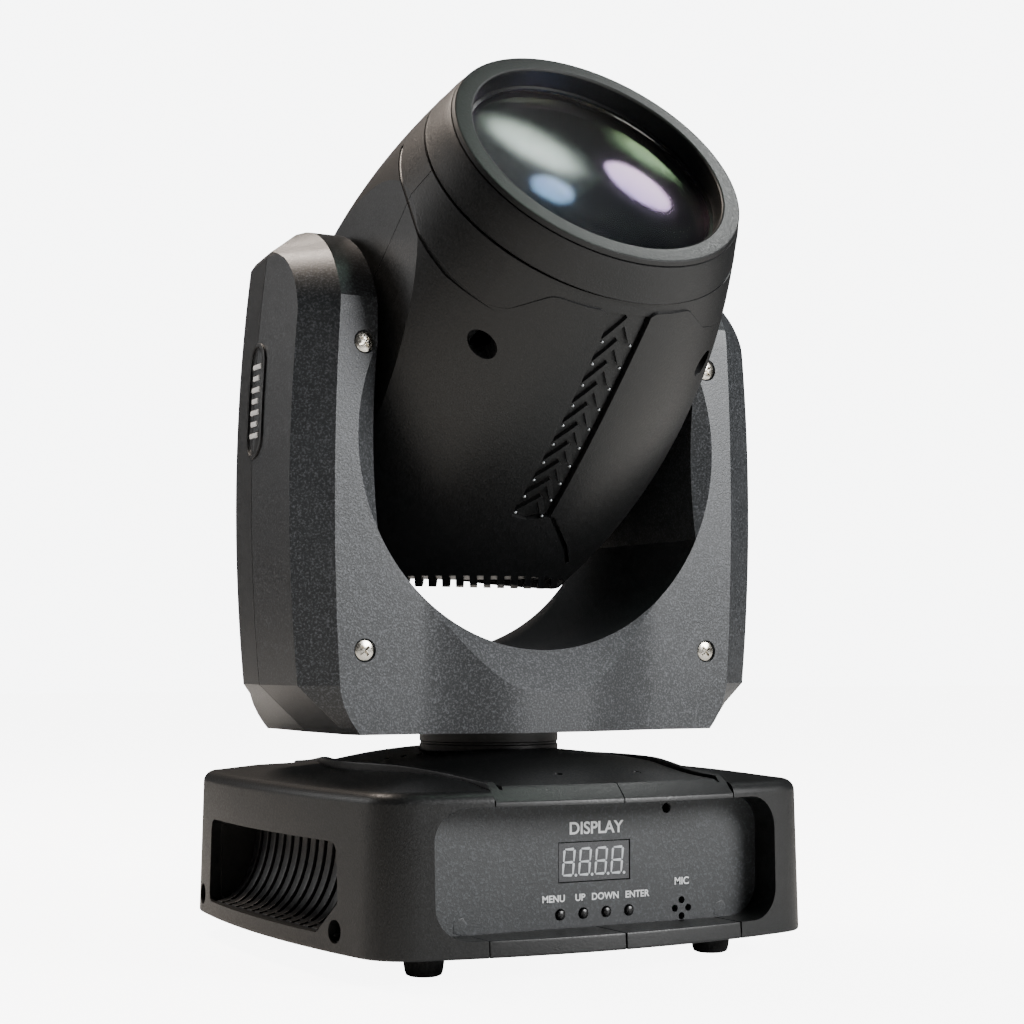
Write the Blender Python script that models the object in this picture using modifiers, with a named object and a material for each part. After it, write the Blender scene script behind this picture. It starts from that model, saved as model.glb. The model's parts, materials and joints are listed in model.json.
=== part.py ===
"""Moving head light: a beam projector that pans on its base and tilts in a forked yoke.

The frame is +Z up with the origin on the pan axis, in the plane of the steel base plate's
underside. The control panel faces -Y. The head rests leaning forward by REST_TILT.
Sizes below are millimetres; the helper functions turn them into Blender's metres.
"""
import math

import bmesh
import bpy
from mathutils import Matrix, Vector

MM = 0.001
GAP = 0.3              # clearance that every pair of touching pieces keeps
WALL = 2.4             # moulded cover wall

# Base
BASE_HALF_X = 97.0     # half width at the middle of a side
BASE_HALF_Y = 100.0    # half depth at the middle of the front lip
BASE_BOW_X = 8.0       # how far the sides bow out
BASE_BOW_Y = 13.0      # how far the front and the rear bow out
BASE_CORNER = 12.0     # corner rounding
BASE_DRAFT = 1.5       # the side walls lean out this much towards the floor
BASE_EDGE_Z = 53.0     # where the side wall starts to round over
BASE_ROUND = 5.0       # height of that rounding
ROOF_RISE = 5.0        # the side roofs climb this much towards the middle
SILL_TOP = 6.0         # top of the lower lips
PANEL_Y = 80.0         # inner face of the recess that holds the front and rear panels
PANEL_HALF_X = 72.0    # half width of the opening in front of a panel
PANEL_CORNER = 12.0
PANEL_SHEET = 1.5
PLATE_SHEET = 2.0      # steel base plate
LIP_BOTTOM = 52.0      # underside of the upper lips
DECK_HALF_FRONT = 53.0 # half width of the middle cover at its lips
DECK_SWELL = 11.0      # how much wider it is beside the pan axis
DECK_TOP = 68.5
RAIL_TOP = 63.0        # edges of the middle cover, just above the side roofs
DECK_SHEET = 3.0
DECK_SKIRT = 5.5       # height of the edge that reaches down past the side roofs
SUPPLY_SIZE = (54.0, 32.0, 30.0)
SUPPLY_SPOT = (45.0, 36.0)
FOOT_X = 62.0
FOOT_Y = 64.4
FOOT_RADIUS = 7.8
FOOT_HEIGHT = 9.5
VENT_LENGTH = 122.0    # side opening, along Y
VENT_LOW = 6.0
VENT_HIGH = 39.0
VENT_DEPTH = 13.0
SIDE_HOLE_Y = (-59.5, 72.0)
SIDE_HOLE_Z = 7.6
SIDE_HOLE_RADIUS = 4.2
VENT_BARS = 12
VENT_MARGIN = 18.0     # plain ends beside the slots
VENT_SLOT = 24.0
VENT_SLANT = -18.0     # degrees from upright

# Front panel features, x and z of their centres
DISPLAY_SIZE = (30.0, 14.0)
DISPLAY_Z = 29.6
BUTTON_X = (-14.6, -4.8, 5.0, 14.8)
BUTTON_NAMES = ("menu_button", "up_button", "down_button", "enter_button")
BUTTON_Z = 10.9
BUTTON_RADIUS = 1.75
BUTTON_PROUD = 1.2
BUTTON_TRAVEL = 0.5
BUTTON_COLLAR = (1.2, 1.6)   # a collar behind the panel: how much wider, and how thick
BOARD_SIZE = (96.0, 1.6, 44.0)
BOARD_SETBACK = 7.0    # from the panel's rear face to the board
MIC_X = 38.2
MIC_Z = 10.3
MIC_SPACING = 3.0
MIC_HOLE = 1.35
KEY_HOLE_X = 31.4
KEY_HOLE_Z = 47.8
KEY_HOLE_RADIUS = 1.9

# Rear panel connectors, all on one row
CONNECTOR_Z = 28.0
FLANGE = 2.0
INLET_X = 40.0
INLET_BODY = (27.0, 24.0, 20.0)
INLET_FLANGE = (38.0, 24.0)
INLET_SOCKET = (22.0, 14.0, 15.0)
INLET_PIN = (1.8, 4.0)
INLET_PIN_PITCH = 7.0
DATA_X = {"dmx_input_socket": -14.0, "dmx_output_socket": -46.0}
DATA_RADIUS = 9.2
DATA_LENGTH = 22.0
DATA_FLANGE = (26.0, 31.0)
DATA_BORE = 7.6
DATA_BORE_DEPTH = 17.0
DATA_PIN = 1.2
DATA_PIN_CIRCLE = 3.6
DATA_CORE = 6.4        # the output socket's face, inside its ring

# Pan spindle and drive
NECK_RADIUS = 27.5
SPINDLE_RADIUS = 12.0
CABLE_BORE = 9.0
YOKE_BOTTOM = 75.5
YOKE_LIFT = 0.5        # running clearance between the neck and the yoke
BEARING_WIDTH = 3.2
RACE = 6.5             # radial size of a bearing
BELT_WIDTH = 5.0
BELT_THICK = 1.2
PINION_RADIUS = 6.5
PAN_PULLEY_RADIUS = 30.0
PAN_DRIVE_Z = 86.0     # middle of the pan belt
PAN_MOTOR_X = -54.0
PAN_MOTOR_LENGTH = 19.0
MOTOR_SIDE = 35.0
MOTOR_SHAFT = 2.5

# Yoke
TILT_Z = 218.0         # height of the tilt axis
YOKE_HALF_Y = 43.3
YOKE_HALF_X = 101.4    # at the widest height of the arms
FACE_HALF_X = 87.0     # outer edge of the front face at that height
WIDEST_Z = 160.0
OUTER_CROWN = 4.0      # the outer faces curve in by this much, CROWN_SPAN above and below
FACE_CROWN = 2.6
CROWN_SPAN = 75.0
SIDE_BEVEL = 7.8       # how far back the bevel between front and side faces runs
REAR_SHOULDER_Y = 27.6
REAR_SHOULDER_IN = 4.8
ARM_ROUND = 46.0       # the arms' tops are round about the tilt axis
FOOT_CHAMFER = 18.0    # height of the chamfer under each arm
FOOT_HALF_X = 79.0     # half width where that chamfer ends
GAP_HALF_X = 70.0      # half the distance between the arms
CRADLE_RADIUS = 77.7   # round bottom of the space between the arms
CRADLE_ROOM = 25.0     # between that bottom and the rear of the head as it tilts
BULGE = 7.7            # the middle of the fork stands forward by this much
BULGE_FLAT = 10.0
BULGE_TOP = 33.8       # the bulge stops this far above the bottom of the space between the arms
BULGE_END = 54.0
SCOOP_SLOPE = 2.08     # radius gained per mm along Y where the bulge is scooped out
FRAME_SHEET = 2.0
FRAME_X = 73.2         # inner face of the steel fork
FRAME_HALF_Y = 30.0
SCREW_X = 75.0
SCREW_HIGH = TILT_Z
SCREW_LOW = 106.2
SCREW_HEAD = 3.8
SCREW_SHANK = 1.9
SCREW_LENGTH = 13.0

# Tilt drive, in the right arm
TRUNNION_RADIUS = 8.0
TILT_BELT_X = 79.5
TILT_PULLEY_RADIUS = 24.0
TILT_MOTOR_Z = TILT_Z - 78.0
TILT_MOTOR_LENGTH = 11.0

# Head, measured along its own axis from the tilt axis
REST_TILT = 51.1       # degrees from upright, leaning towards -Y
HEAD_RADIUS = 78.2
HEAD_CURVE = 264.0     # radius of the long barrel curve
HEAD_FLAT_X = 66.0     # the sides are flat here
HEAD_WALL = 2.5
HEAD_FRONT = 91.5      # front edge of the two shells
HEAD_SHOULDER = -62.0
HEAD_SWEEP = 86.5      # the rear is round about the tilt axis, so that it clears the fork
CRADLE_LOW = TILT_Z - HEAD_SWEEP - CRADLE_ROOM
RIM_FRONT = 107.4
RIM_RADIUS = 56.8
RIM_OPENING = 49.5
LENS_EDGE = 98.0
LENS_EDGE_THICK = 8.0
LENS_SAG = 7.0
LENS_OVERLAP = 1.0
RECESS_X = 47.0        # screw recesses in the lower shell
RECESS_S = 60.0
RECESS_RADIUS = 4.4
RIB_SLOTS = 7          # vents between the ribs at the rear, in each shell
RIB_PITCH = 10.8
BENCH_HALF_X = 53.0
BENCH_HALF_Y = 34.0
BENCH_REAR = -46.0
BENCH_FRONT = 64.0
BENCH_SHEET = 2.0
WHEEL_OFFSET = 20.0    # from a filter wheel's axis to the beam
WHEEL_SHEET = 1.2
APERTURE = 5.5
WHEEL_RIM = 2.0        # metal left outside the apertures
WHEEL_HUB = 6.0
SPIGOT_RADIUS = 2.0
APERTURES = 6
COLOUR_WHEEL_S = -28.0
GOBO_WHEEL_S = -20.0
PRISM_S = 0.0
PRISM_RADIUS = 12.0
PRISM_THICK = 5.0
PRISM_HUB = 5.0
PRISM_PIVOT = (-30.0, -24.0)
PRISM_REST = 66.0      # degrees that the arm is parked away from the beam
FOCUS_S = 18.0
FOCUS_RADIUS = 22.0
FOCUS_ROD_X = 32.0
FOCUS_ROD = 2.0
SINK_SIZE = (76.0, 64.0, 5.0)
FIN_COUNT = 8
FIN_SHEET = 1.8
FIN_DEPTH = 16.0
LED_RADIUS = 15.0
LED_HEIGHT = 8.0
FAN_SIDE = 60.0
FAN_DEPTH = 9.0
FAN_WALL = 1.5
FAN_STRUT = 1.4
FAN_HUB = 11.0
FAN_BLADES = 7
FAN_TIP_GAP = 1.2

ARC = 16               # segments of an ordinary round piece
CRADLE_STEPS = 18      # segments of the round between the arms
SWEEP_STEPS = 14       # segments of the head's round rear
BIG_ARC = 28           # segments of the head


# ------------------------------------------------------------------ helpers
def collection(name):
    found = bpy.data.collections.new(name)
    bpy.context.scene.collection.children.link(found)
    return found


def material(name, colour, roughness, metallic=0.0):
    made = bpy.data.materials.get(name)
    if made is None:
        made = bpy.data.materials.new(name)
        made.use_nodes = True
        shader = made.node_tree.nodes["Principled BSDF"]
        shader.inputs["Base Color"].default_value = (*colour, 1.0)
        shader.inputs["Roughness"].default_value = roughness
        shader.inputs["Metallic"].default_value = metallic
    return made


def empty(name, at=(0, 0, 0), parent=None, turn_x=0.0):
    made = bpy.data.objects.new(name, None)
    PARTS.objects.link(made)
    made.location = Vector(at) * MM
    made.rotation_euler.x = math.radians(turn_x)
    made.parent = parent
    return made


def from_bmesh(name, bm, at=(0, 0, 0), axis="Z"):
    """Make an object from a bmesh in millimetres, turned so that its Z runs along axis."""
    bm.transform(Matrix.Scale(MM, 4))
    mesh = bpy.data.meshes.new(name)
    bm.to_mesh(mesh)
    bm.free()
    made = bpy.data.objects.new(name, mesh)
    PARTS.objects.link(made)
    made.location = Vector(at) * MM
    if axis == "X":
        made.rotation_euler.y = math.pi / 2
    elif axis == "Y":
        made.rotation_euler.x = -math.pi / 2
    return made


def box(name, size, at):
    bm = bmesh.new()
    bmesh.ops.create_cube(bm, size=1.0)
    bmesh.ops.scale(bm, vec=Vector(size), verts=bm.verts)
    return from_bmesh(name, bm, at)


def rod(name, radius, length, at, axis="Z", sides=ARC, end_radius=None):
    bm = bmesh.new()
    bmesh.ops.create_cone(
        bm, cap_ends=True, segments=sides, depth=length,
        radius1=radius, radius2=radius if end_radius is None else end_radius)
    return from_bmesh(name, bm, at, axis)


def turned(name, profile, at=(0, 0, 0), axis="Z", steps=ARC, ring=False):
    """Turn (radius, height) points, listed down the outer side, round the local Z axis."""
    bm = bmesh.new()
    line = [bm.verts.new((radius, 0.0, height)) for radius, height in profile]
    last = len(line) if ring else len(line) - 1
    for index in range(last):
        bm.edges.new((line[index], line[(index + 1) % len(line)]))
    made = from_bmesh(name, bm, at, axis)
    screw = made.modifiers.new("turn", "SCREW")
    screw.steps = screw.render_steps = steps
    screw.use_merge_vertices = True
    screw.merge_threshold = 0.00002
    return made


def slab(name, outline, thickness, at=(0, 0, 0), axis="Z"):
    """Extrude a closed flat outline, centred on its own plane, along axis."""
    curve = bpy.data.curves.new(name, "CURVE")
    curve.dimensions = "2D"
    curve.fill_mode = "BOTH"
    curve.extrude = thickness * MM / 2
    spline = curve.splines.new("POLY")
    spline.points.add(len(outline) - 1)
    for point, (u, v) in zip(spline.points, outline):
        point.co = (u * MM, v * MM, 0.0, 1.0)
    spline.use_cyclic_u = True
    flat = bpy.data.objects.new(name + "_outline", curve)
    PARTS.objects.link(flat)
    bpy.context.view_layer.update()
    evaluated = flat.evaluated_get(bpy.context.evaluated_depsgraph_get())
    mesh = bpy.data.meshes.new_from_object(evaluated)
    bm = bmesh.new()
    bm.from_mesh(mesh)
    bmesh.ops.remove_doubles(bm, verts=bm.verts, dist=0.000001)
    bmesh.ops.recalc_face_normals(bm, faces=bm.faces)
    if axis == "X":
        bm.transform(Matrix(((0, 0, 1, 0), (1, 0, 0, 0), (0, 1, 0, 0), (0, 0, 0, 1))))
    elif axis == "Y":
        bm.transform(Matrix(((1, 0, 0, 0), (0, 0, -1, 0), (0, 1, 0, 0), (0, 0, 0, 1))))
    bm.to_mesh(mesh)
    bm.free()
    bpy.data.objects.remove(flat)
    bpy.data.curves.remove(curve)
    mesh.name = name
    made = bpy.data.objects.new(name, mesh)
    PARTS.objects.link(made)
    made.location = Vector(at) * MM
    return made


def loft(name, rings):
    """Skin a stack of closed rings that all have the same number of points."""
    bm = bmesh.new()
    rows = [[bm.verts.new(point) for point in ring] for ring in rings]
    count = len(rows[0])
    for lower, upper in zip(rows, rows[1:]):
        for index in range(count):
            after = (index + 1) % count
            bm.faces.new((lower[index], lower[after], upper[after], upper[index]))
    bm.faces.new(rows[0])
    bm.faces.new(rows[-1])
    bmesh.ops.recalc_face_normals(bm, faces=bm.faces)
    return from_bmesh(name, bm)


def tool(made):
    """Put a cutter or a joined shape away from the parts."""
    PARTS.objects.unlink(made)
    CUTTERS.objects.link(made)
    made.hide_render = True
    made.display_type = "WIRE"
    return made


def boolean(target, others, operation):
    for other in others:
        if other.name in PARTS.objects:
            tool(other)
        step = target.modifiers.new(operation.lower(), "BOOLEAN")
        step.operation = operation
        step.object = other
        step.solver = "EXACT"
    return target


def cut(target, *others):
    return boolean(target, others, "DIFFERENCE")


def join(target, *others):
    return boolean(target, others, "UNION")


def common(target, *others):
    return boolean(target, others, "INTERSECT")


def finish(made, body, surface):
    """Give a part its material and hang it, with its tools, on the body it moves with."""
    for step in made.modifiers:
        if step.type == "BOOLEAN" and step.object.parent is None:
            hang(step.object, body)
    made.data.materials.clear()
    made.data.materials.append(surface)
    made.data.shade_smooth()
    made.data.set_sharp_from_angle(angle=math.radians(35))
    made.parent = body
    return made


def hang(piece, body):
    """Parent a tool, and the tools that shape it, to the same body."""
    piece.parent = body
    for step in piece.modifiers:
        if step.type == "BOOLEAN" and step.object.parent is None:
            hang(step.object, body)


def rounded_box_outline(half_u, low_v, high_v, corner, steps=3):
    outline = []
    corners = ((1, high_v - corner, 0), (-1, high_v - corner, 90),
               (-1, low_v + corner, 180), (1, low_v + corner, 270))
    for side, v, start in corners:
        for step in range(steps + 1):
            angle = math.radians(start + 90.0 * step / steps)
            outline.append((side * (half_u - corner) + corner * math.cos(angle),
                            v + corner * math.sin(angle)))
    return outline


def between(low, high, share):
    return low + (high - low) * share


def smooth(share):
    share = min(max(share, 0.0), 1.0)
    return share * share * (3.0 - 2.0 * share)


# ------------------------------------------------------------------ base
def base_outline(inset=0.0, clip_y=None, side_points=5):
    """A square with bowed sides and rounded corners, drawn anticlockwise."""
    half_x = BASE_HALF_X - inset
    half_y = BASE_HALF_Y - inset
    corner_x = half_x - BASE_BOW_X
    corner_y = half_y - BASE_BOW_Y
    corner = max(BASE_CORNER - inset, 3.0)
    reach_x = 1.0 - corner / corner_x
    reach_y = 1.0 - corner / corner_y
    quarter = []
    for index in range(side_points):
        share = index / (side_points - 1) * reach_y
        quarter.append((half_x - BASE_BOW_X * share ** 2, corner_y * share))
    start = Vector(quarter[-1])
    far = Vector((corner_x * reach_x, half_y - BASE_BOW_Y * reach_x ** 2))
    tip = Vector((corner_x + 0.5, corner_y + 0.5))
    for share in (0.33, 0.67):
        quarter.append(tuple(start * (1 - share) ** 2 + tip * 2 * share * (1 - share)
                             + far * share ** 2))
    for index in reversed(range(side_points)):
        share = index / (side_points - 1) * reach_x
        quarter.append((corner_x * share, half_y - BASE_BOW_Y * share ** 2))
    right = quarter + [(-x, y) for x, y in reversed(quarter[:-1])]
    outline = right + [(x, -y) for x, y in reversed(right[1:-1])]
    if clip_y is not None:
        outline = [(x, min(max(y, -clip_y), clip_y)) for x, y in outline]
    return outline


def base_body(name, inset=0.0, clip_y=None):
    """The base's full outer form, or the space inside its covers."""
    levels = [(0.0, -BASE_DRAFT), (BASE_EDGE_Z, 0.0), (BASE_EDGE_Z + 0.6 * BASE_ROUND, 1.2),
              (BASE_EDGE_Z + BASE_ROUND, 4.5),
              (BASE_EDGE_Z + BASE_ROUND + 0.75 * ROOF_RISE, 36.0),
              (BASE_EDGE_Z + BASE_ROUND + ROOF_RISE, 66.0)]
    rings = []
    for index, (height, step_in) in enumerate(levels):
        height = height - 1.0 if inset and index == 0 else height - inset
        rings.append([(x, y, height) for x, y in base_outline(inset + step_in, clip_y)])
    return loft(name, rings)


def deck_half_width(y):
    """Half width of the middle cover: widest just in front of the pan axis."""
    reach = PANEL_Y if y < 0 else PANEL_Y * 1.05
    narrow = DECK_HALF_FRONT - 3.0 if y < 0 else DECK_HALF_FRONT - 8.0
    swell = DECK_HALF_FRONT + DECK_SWELL - narrow
    return narrow + swell * (1.0 - smooth(abs(y) / reach))


def deck_height(y, top=DECK_TOP):
    """Height along the deck's ridge, or along its rails when top is RAIL_TOP."""
    rise = smooth((BASE_HALF_Y - abs(y)) / (BASE_HALF_Y - NECK_RADIUS))
    return between(BASE_EDGE_Z + BASE_ROUND + 0.6, top, rise)


def deck_stations():
    inner = PANEL_Y - 0.05
    rows = [-BASE_HALF_Y - 2.0, -BASE_HALF_Y + BASE_ROUND, -PANEL_Y, -inner]
    rows += [inner * share for share in (-0.8, -0.55, -0.3, 0.0, 0.3, 0.55, 0.8)]
    return rows + [-row for row in reversed(rows[:4])]


def deck_prism(name, clearance):
    """The plan of the middle cover, as a tall block that trims the side covers."""
    rows = deck_stations()
    right = [(deck_half_width(y) + clearance, y) for y in rows]
    outline = right + [(-x, y) for x, y in reversed(right)]
    return slab(name, outline, 80.0, at=(0, 0, 40.0))


def panel_opening(name, side, reach=40.0):
    outline = rounded_box_outline(PANEL_HALF_X, SILL_TOP, LIP_BOTTOM, PANEL_CORNER)
    return slab(name, outline, reach, at=(0, side * (PANEL_Y + reach / 2 - 2.0), 0), axis="Y")


def vent_outline(shrink=0.0):
    """The side opening, with its lower front corner cut off beside the screw hole."""
    half = VENT_LENGTH / 2 - shrink
    low = VENT_LOW + shrink
    high = VENT_HIGH - shrink
    outline = [(14.0 - half, low), (half - 3.0, low), (half, low + 3.0), (half, high - 4.0),
               (half - 4.0, high), (5.5 - half, high), (1.0 - half, high - 5.0),
               (-half, low + 12.0)]
    return outline


def side_cover(name, side):
    cover = base_body(name)
    hollow = base_body(name + "_hollow", inset=WALL, clip_y=PANEL_Y)
    cut(cover, hollow)
    cut(cover, deck_prism(name + "_deck", GAP))
    cut(cover, box(name + "_half", (240, 240, 160), (-side * 120.0, 0, 40)))
    for end in (-1, 1):
        cut(cover, panel_opening(f"{name}_panel_{end}", end))
        depth = BASE_HALF_Y - PANEL_Y + 4.0
        cut(cover, box(f"{name}_sill_{end}", (2 * (DECK_HALF_FRONT + GAP), depth, 40.0),
                       (0, end * (PANEL_Y + depth / 2 - 1.0), SILL_TOP - 19.0)))
    cut(cover, slab(name + "_vent", vent_outline(), 60.0, at=(side * (BASE_HALF_X - 12), 0, 0),
                    axis="X"))
    for y in SIDE_HOLE_Y:
        cut(cover, rod(f"{name}_hole_{y:+.0f}", SIDE_HOLE_RADIUS, 40.0,
                       (side * BASE_HALF_X, y, SIDE_HOLE_Z), "X", sides=12))
    return finish(cover, BASE, BLACK_PLASTIC)


def louvre(name, side):
    """A sleeve in the side opening with slanted bars at its inner end."""
    outer = vent_outline(GAP)
    inner = vent_outline(GAP + 1.6)
    centre_x = side * (BASE_HALF_X - BASE_BOW_X - 0.5 - VENT_DEPTH / 2)
    piece = slab(name, outer, VENT_DEPTH, at=(centre_x, 0, 0), axis="X")
    pocket_x = centre_x + side * 3.0
    cut(piece, slab(name + "_pocket", inner, VENT_DEPTH, at=(pocket_x, 0, 0), axis="X"))
    pitch = (VENT_LENGTH - 2 * VENT_MARGIN) / VENT_BARS
    for index in range(VENT_BARS):
        y = (index - (VENT_BARS - 1) / 2) * pitch
        slot = box(f"{name}_slot_{index}", (VENT_DEPTH * 2, pitch * 0.45, VENT_SLOT),
                   (centre_x - side * VENT_DEPTH, y, (VENT_LOW + VENT_HIGH) / 2))
        slot.rotation_euler.x = math.radians(VENT_SLANT)
        cut(piece, slot)
    return finish(piece, BASE, BLACK_PLASTIC)


def top_cover():
    """The raised middle cover with the upper lips over the front and rear panels."""
    rings = []
    for y in deck_stations():
        half = deck_half_width(y)
        top = deck_height(y)
        rail = deck_height(y, RAIL_TOP)
        skirt = rail - DECK_SKIRT
        under = top - DECK_SHEET
        if abs(y) >= PANEL_Y:
            skirt = under = LIP_BOTTOM
        if abs(y) > BASE_HALF_Y:
            top = rail = BASE_EDGE_Z
        edge = max(rail - 1.2, skirt + 0.3)
        arch = between(rail, top, 0.75)
        right = [(half * 0.5, min(under, arch - DECK_SHEET) if under > LIP_BOTTOM else under),
                 (half - DECK_SHEET - 1.0, under if skirt == under else rail - DECK_SHEET),
                 (half - DECK_SHEET, skirt), (half, skirt), (half, edge), (half - 2.0, rail),
                 (half * 0.5, arch)]
        ring = [(x, y, z) for x, z in right]
        ring += [(0.0, y, top)] + [(-x, y, z) for x, z in reversed(right)] + [(0.0, y, under)]
        rings.append(ring)
    cover = loft("top_cover", rings)
    common(cover, slab("top_cover_plan", base_outline(), 160.0, at=(0, 0, 40)))
    cut(cover, rod("top_cover_neck", NECK_RADIUS + GAP, 80, (0, 0, 60), sides=BIG_ARC))
    return finish(cover, BASE, BLACK_PLASTIC)


def sill(name, side):
    """The lower lip under a panel."""
    depth = BASE_HALF_Y - PANEL_Y + 2.0
    piece = box(name, (2 * DECK_HALF_FRONT, depth, SILL_TOP),
                (0, side * (PANEL_Y + depth / 2), SILL_TOP / 2))
    common(piece, slab(name + "_plan", base_outline(), 40.0))
    return finish(piece, BASE, BLACK_PLASTIC)


def base_plate():
    outline = base_outline(WALL + GAP, clip_y=PANEL_Y - GAP - PANEL_SHEET - GAP)
    plate = slab("base_plate", outline, PLATE_SHEET, at=(0, 0, PLATE_SHEET / 2))
    return finish(plate, BASE, SHEET_STEEL)


def panel_sheet(name, side):
    low = PLATE_SHEET + GAP
    high = LIP_BOTTOM + 1.5
    centre_y = side * (PANEL_Y - GAP - PANEL_SHEET / 2)
    return box(name, (2 * PANEL_HALF_X + 6.0, PANEL_SHEET, high - low),
               (0, centre_y, (low + high) / 2))


def front_panel():
    panel = panel_sheet("front_panel", -1)
    y = -PANEL_Y
    cut(panel, box("display_window", (DISPLAY_SIZE[0] + 2 * GAP, 10, DISPLAY_SIZE[1] + 2 * GAP),
                   (0, y, DISPLAY_Z)))
    for name, x in zip(BUTTON_NAMES, BUTTON_X):
        cut(panel, rod(name + "_hole", BUTTON_RADIUS + GAP, 10, (x, y, BUTTON_Z), "Y", sides=12))
    for index, (dx, dz) in enumerate(((-1, 0), (1, 0), (0, -1), (0, 1))):
        cut(panel, rod(f"mic_hole_{index}", MIC_HOLE, 10,
                       (MIC_X + dx * MIC_SPACING, y, MIC_Z + dz * MIC_SPACING), "Y", sides=10))
    cut(panel, rod("key_hole", KEY_HOLE_RADIUS, 10, (KEY_HOLE_X, y, KEY_HOLE_Z), "Y", sides=12))
    return finish(panel, BASE, PANEL_STEEL)


def front_electronics():
    panel_rear = -PANEL_Y + GAP + PANEL_SHEET
    board_y = panel_rear + BOARD_SETBACK
    module_depth = board_y - GAP - panel_rear + PANEL_SHEET - GAP
    display = box("display_module", (DISPLAY_SIZE[0], module_depth, DISPLAY_SIZE[1]),
                  (0, board_y - GAP - module_depth / 2, DISPLAY_Z))
    finish(display, BASE, DISPLAY_SMOKE)
    board = box("control_board", BOARD_SIZE,
                (0, board_y + BOARD_SIZE[1] / 2, PLATE_SHEET + 2.0 + BOARD_SIZE[2] / 2))
    finish(board, BASE, BOARD_GREEN)
    rear = board_y - GAP - BUTTON_TRAVEL
    front = panel_rear - PANEL_SHEET - BUTTON_PROUD
    wider, thick = BUTTON_COLLAR
    for name, x in zip(BUTTON_NAMES, BUTTON_X):
        button = rod(name, BUTTON_RADIUS, rear - front, (x, (rear + front) / 2, BUTTON_Z), "Y",
                     sides=12)
        join(button, rod(name + "_collar", BUTTON_RADIUS + wider, thick,
                         (x, panel_rear + 3 * GAP + thick / 2, BUTTON_Z), "Y", sides=12))
        finish(button, BASE, BUTTON_BLACK)


def rear_connectors():
    panel = panel_sheet("rear_panel", 1)
    face_y = PANEL_Y + FLANGE           # outer face of the flanges
    body_y = face_y - FLANGE / 2
    clear = 2 * GAP
    cut(panel, box("inlet_hole", (INLET_BODY[0] + clear, 10, INLET_BODY[2] + clear),
                   (INLET_X, PANEL_Y, CONNECTOR_Z)))
    inlet = box("power_inlet", INLET_BODY, (INLET_X, body_y - INLET_BODY[1] / 2, CONNECTOR_Z))
    join(inlet, box("inlet_flange", (INLET_FLANGE[0], FLANGE, INLET_FLANGE[1]),
                    (INLET_X, body_y, CONNECTOR_Z)))
    depth = INLET_SOCKET[1]
    cut(inlet, box("inlet_socket", (INLET_SOCKET[0], depth + 4.0, INLET_SOCKET[2]),
                   (INLET_X, face_y + 2.0 - depth / 2, CONNECTOR_Z)))
    for index in (-1, 0, 1):
        join(inlet, box(f"inlet_pin_{index}", (INLET_PIN[0], depth, INLET_PIN[1]),
                        (INLET_X + index * INLET_PIN_PITCH, face_y - 1.5 - depth / 2, CONNECTOR_Z)))
    finish(inlet, BASE, BLACK_PLASTIC)
    for name, x in DATA_X.items():
        cut(panel, rod(name + "_hole", DATA_RADIUS + GAP, 10, (x, PANEL_Y, CONNECTOR_Z), "Y",
                       sides=20))
        socket = rod(name, DATA_RADIUS, DATA_LENGTH, (x, body_y - DATA_LENGTH / 2, CONNECTOR_Z),
                     "Y", sides=20)
        join(socket, box(name + "_flange", (DATA_FLANGE[0], FLANGE, DATA_FLANGE[1]),
                         (x, body_y, CONNECTOR_Z)))
        cut(socket, rod(name + "_bore", DATA_BORE, DATA_BORE_DEPTH + 4.0,
                        (x, face_y + 2.0 - DATA_BORE_DEPTH / 2, CONNECTOR_Z), "Y", sides=20))
        floor_y = face_y - DATA_BORE_DEPTH - 1.0
        if name == "dmx_input_socket":
            length = DATA_BORE_DEPTH + 1.0 - FLANGE
            for index in range(3):
                angle = math.radians(90 + 120 * index)
                spot = (x + DATA_PIN_CIRCLE * math.cos(angle), floor_y + length / 2,
                        CONNECTOR_Z + DATA_PIN_CIRCLE * math.sin(angle))
                join(socket, rod(f"{name}_pin_{index}", DATA_PIN, length, spot, "Y", sides=8))
        else:
            length = DATA_BORE_DEPTH - FLANGE
            join(socket, rod(name + "_core", DATA_CORE, length,
                             (x, floor_y + length / 2, CONNECTOR_Z), "Y", sides=16))
        finish(socket, BASE, BLACK_PLASTIC)
    finish(panel, BASE, PANEL_STEEL)


def base_inside():
    size = SUPPLY_SIZE
    supply = box("power_supply", size, (*SUPPLY_SPOT, PLATE_SHEET + GAP + size[2] / 2))
    finish(supply, BASE, SHEET_STEEL)
    low = PLATE_SHEET + GAP
    flange_top = DECK_TOP - DECK_SHEET - 2.5 - GAP
    top = PAN_DRIVE_Z + BELT_WIDTH / 2 + 3.0
    spindle = turned("pan_spindle", [
        (CABLE_BORE, top), (SPINDLE_RADIUS, top), (SPINDLE_RADIUS, YOKE_BOTTOM - YOKE_LIFT),
        (NECK_RADIUS, YOKE_BOTTOM - YOKE_LIFT), (NECK_RADIUS, flange_top - 4.0),
        (CABLE_BORE + 3.0, flange_top - 14.0), (CABLE_BORE + 3.0, low + 3.0),
        (NECK_RADIUS - 9.0, low + 3.0), (NECK_RADIUS - 9.0, low), (CABLE_BORE, low)],
        steps=20, ring=True)
    finish(spindle, BASE, CAST_ALLOY)
    pulley = turned("pan_ring_pulley", [
        (SPINDLE_RADIUS + GAP, PAN_DRIVE_Z + BELT_WIDTH / 2 + 1.0),
        (PAN_PULLEY_RADIUS, PAN_DRIVE_Z + BELT_WIDTH / 2 + 1.0),
        (PAN_PULLEY_RADIUS, PAN_DRIVE_Z - BELT_WIDTH / 2 - 1.0),
        (SPINDLE_RADIUS + GAP, PAN_DRIVE_Z - BELT_WIDTH / 2 - 1.0)], steps=BIG_ARC, ring=True)
    finish(pulley, BASE, CAST_ALLOY)


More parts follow.
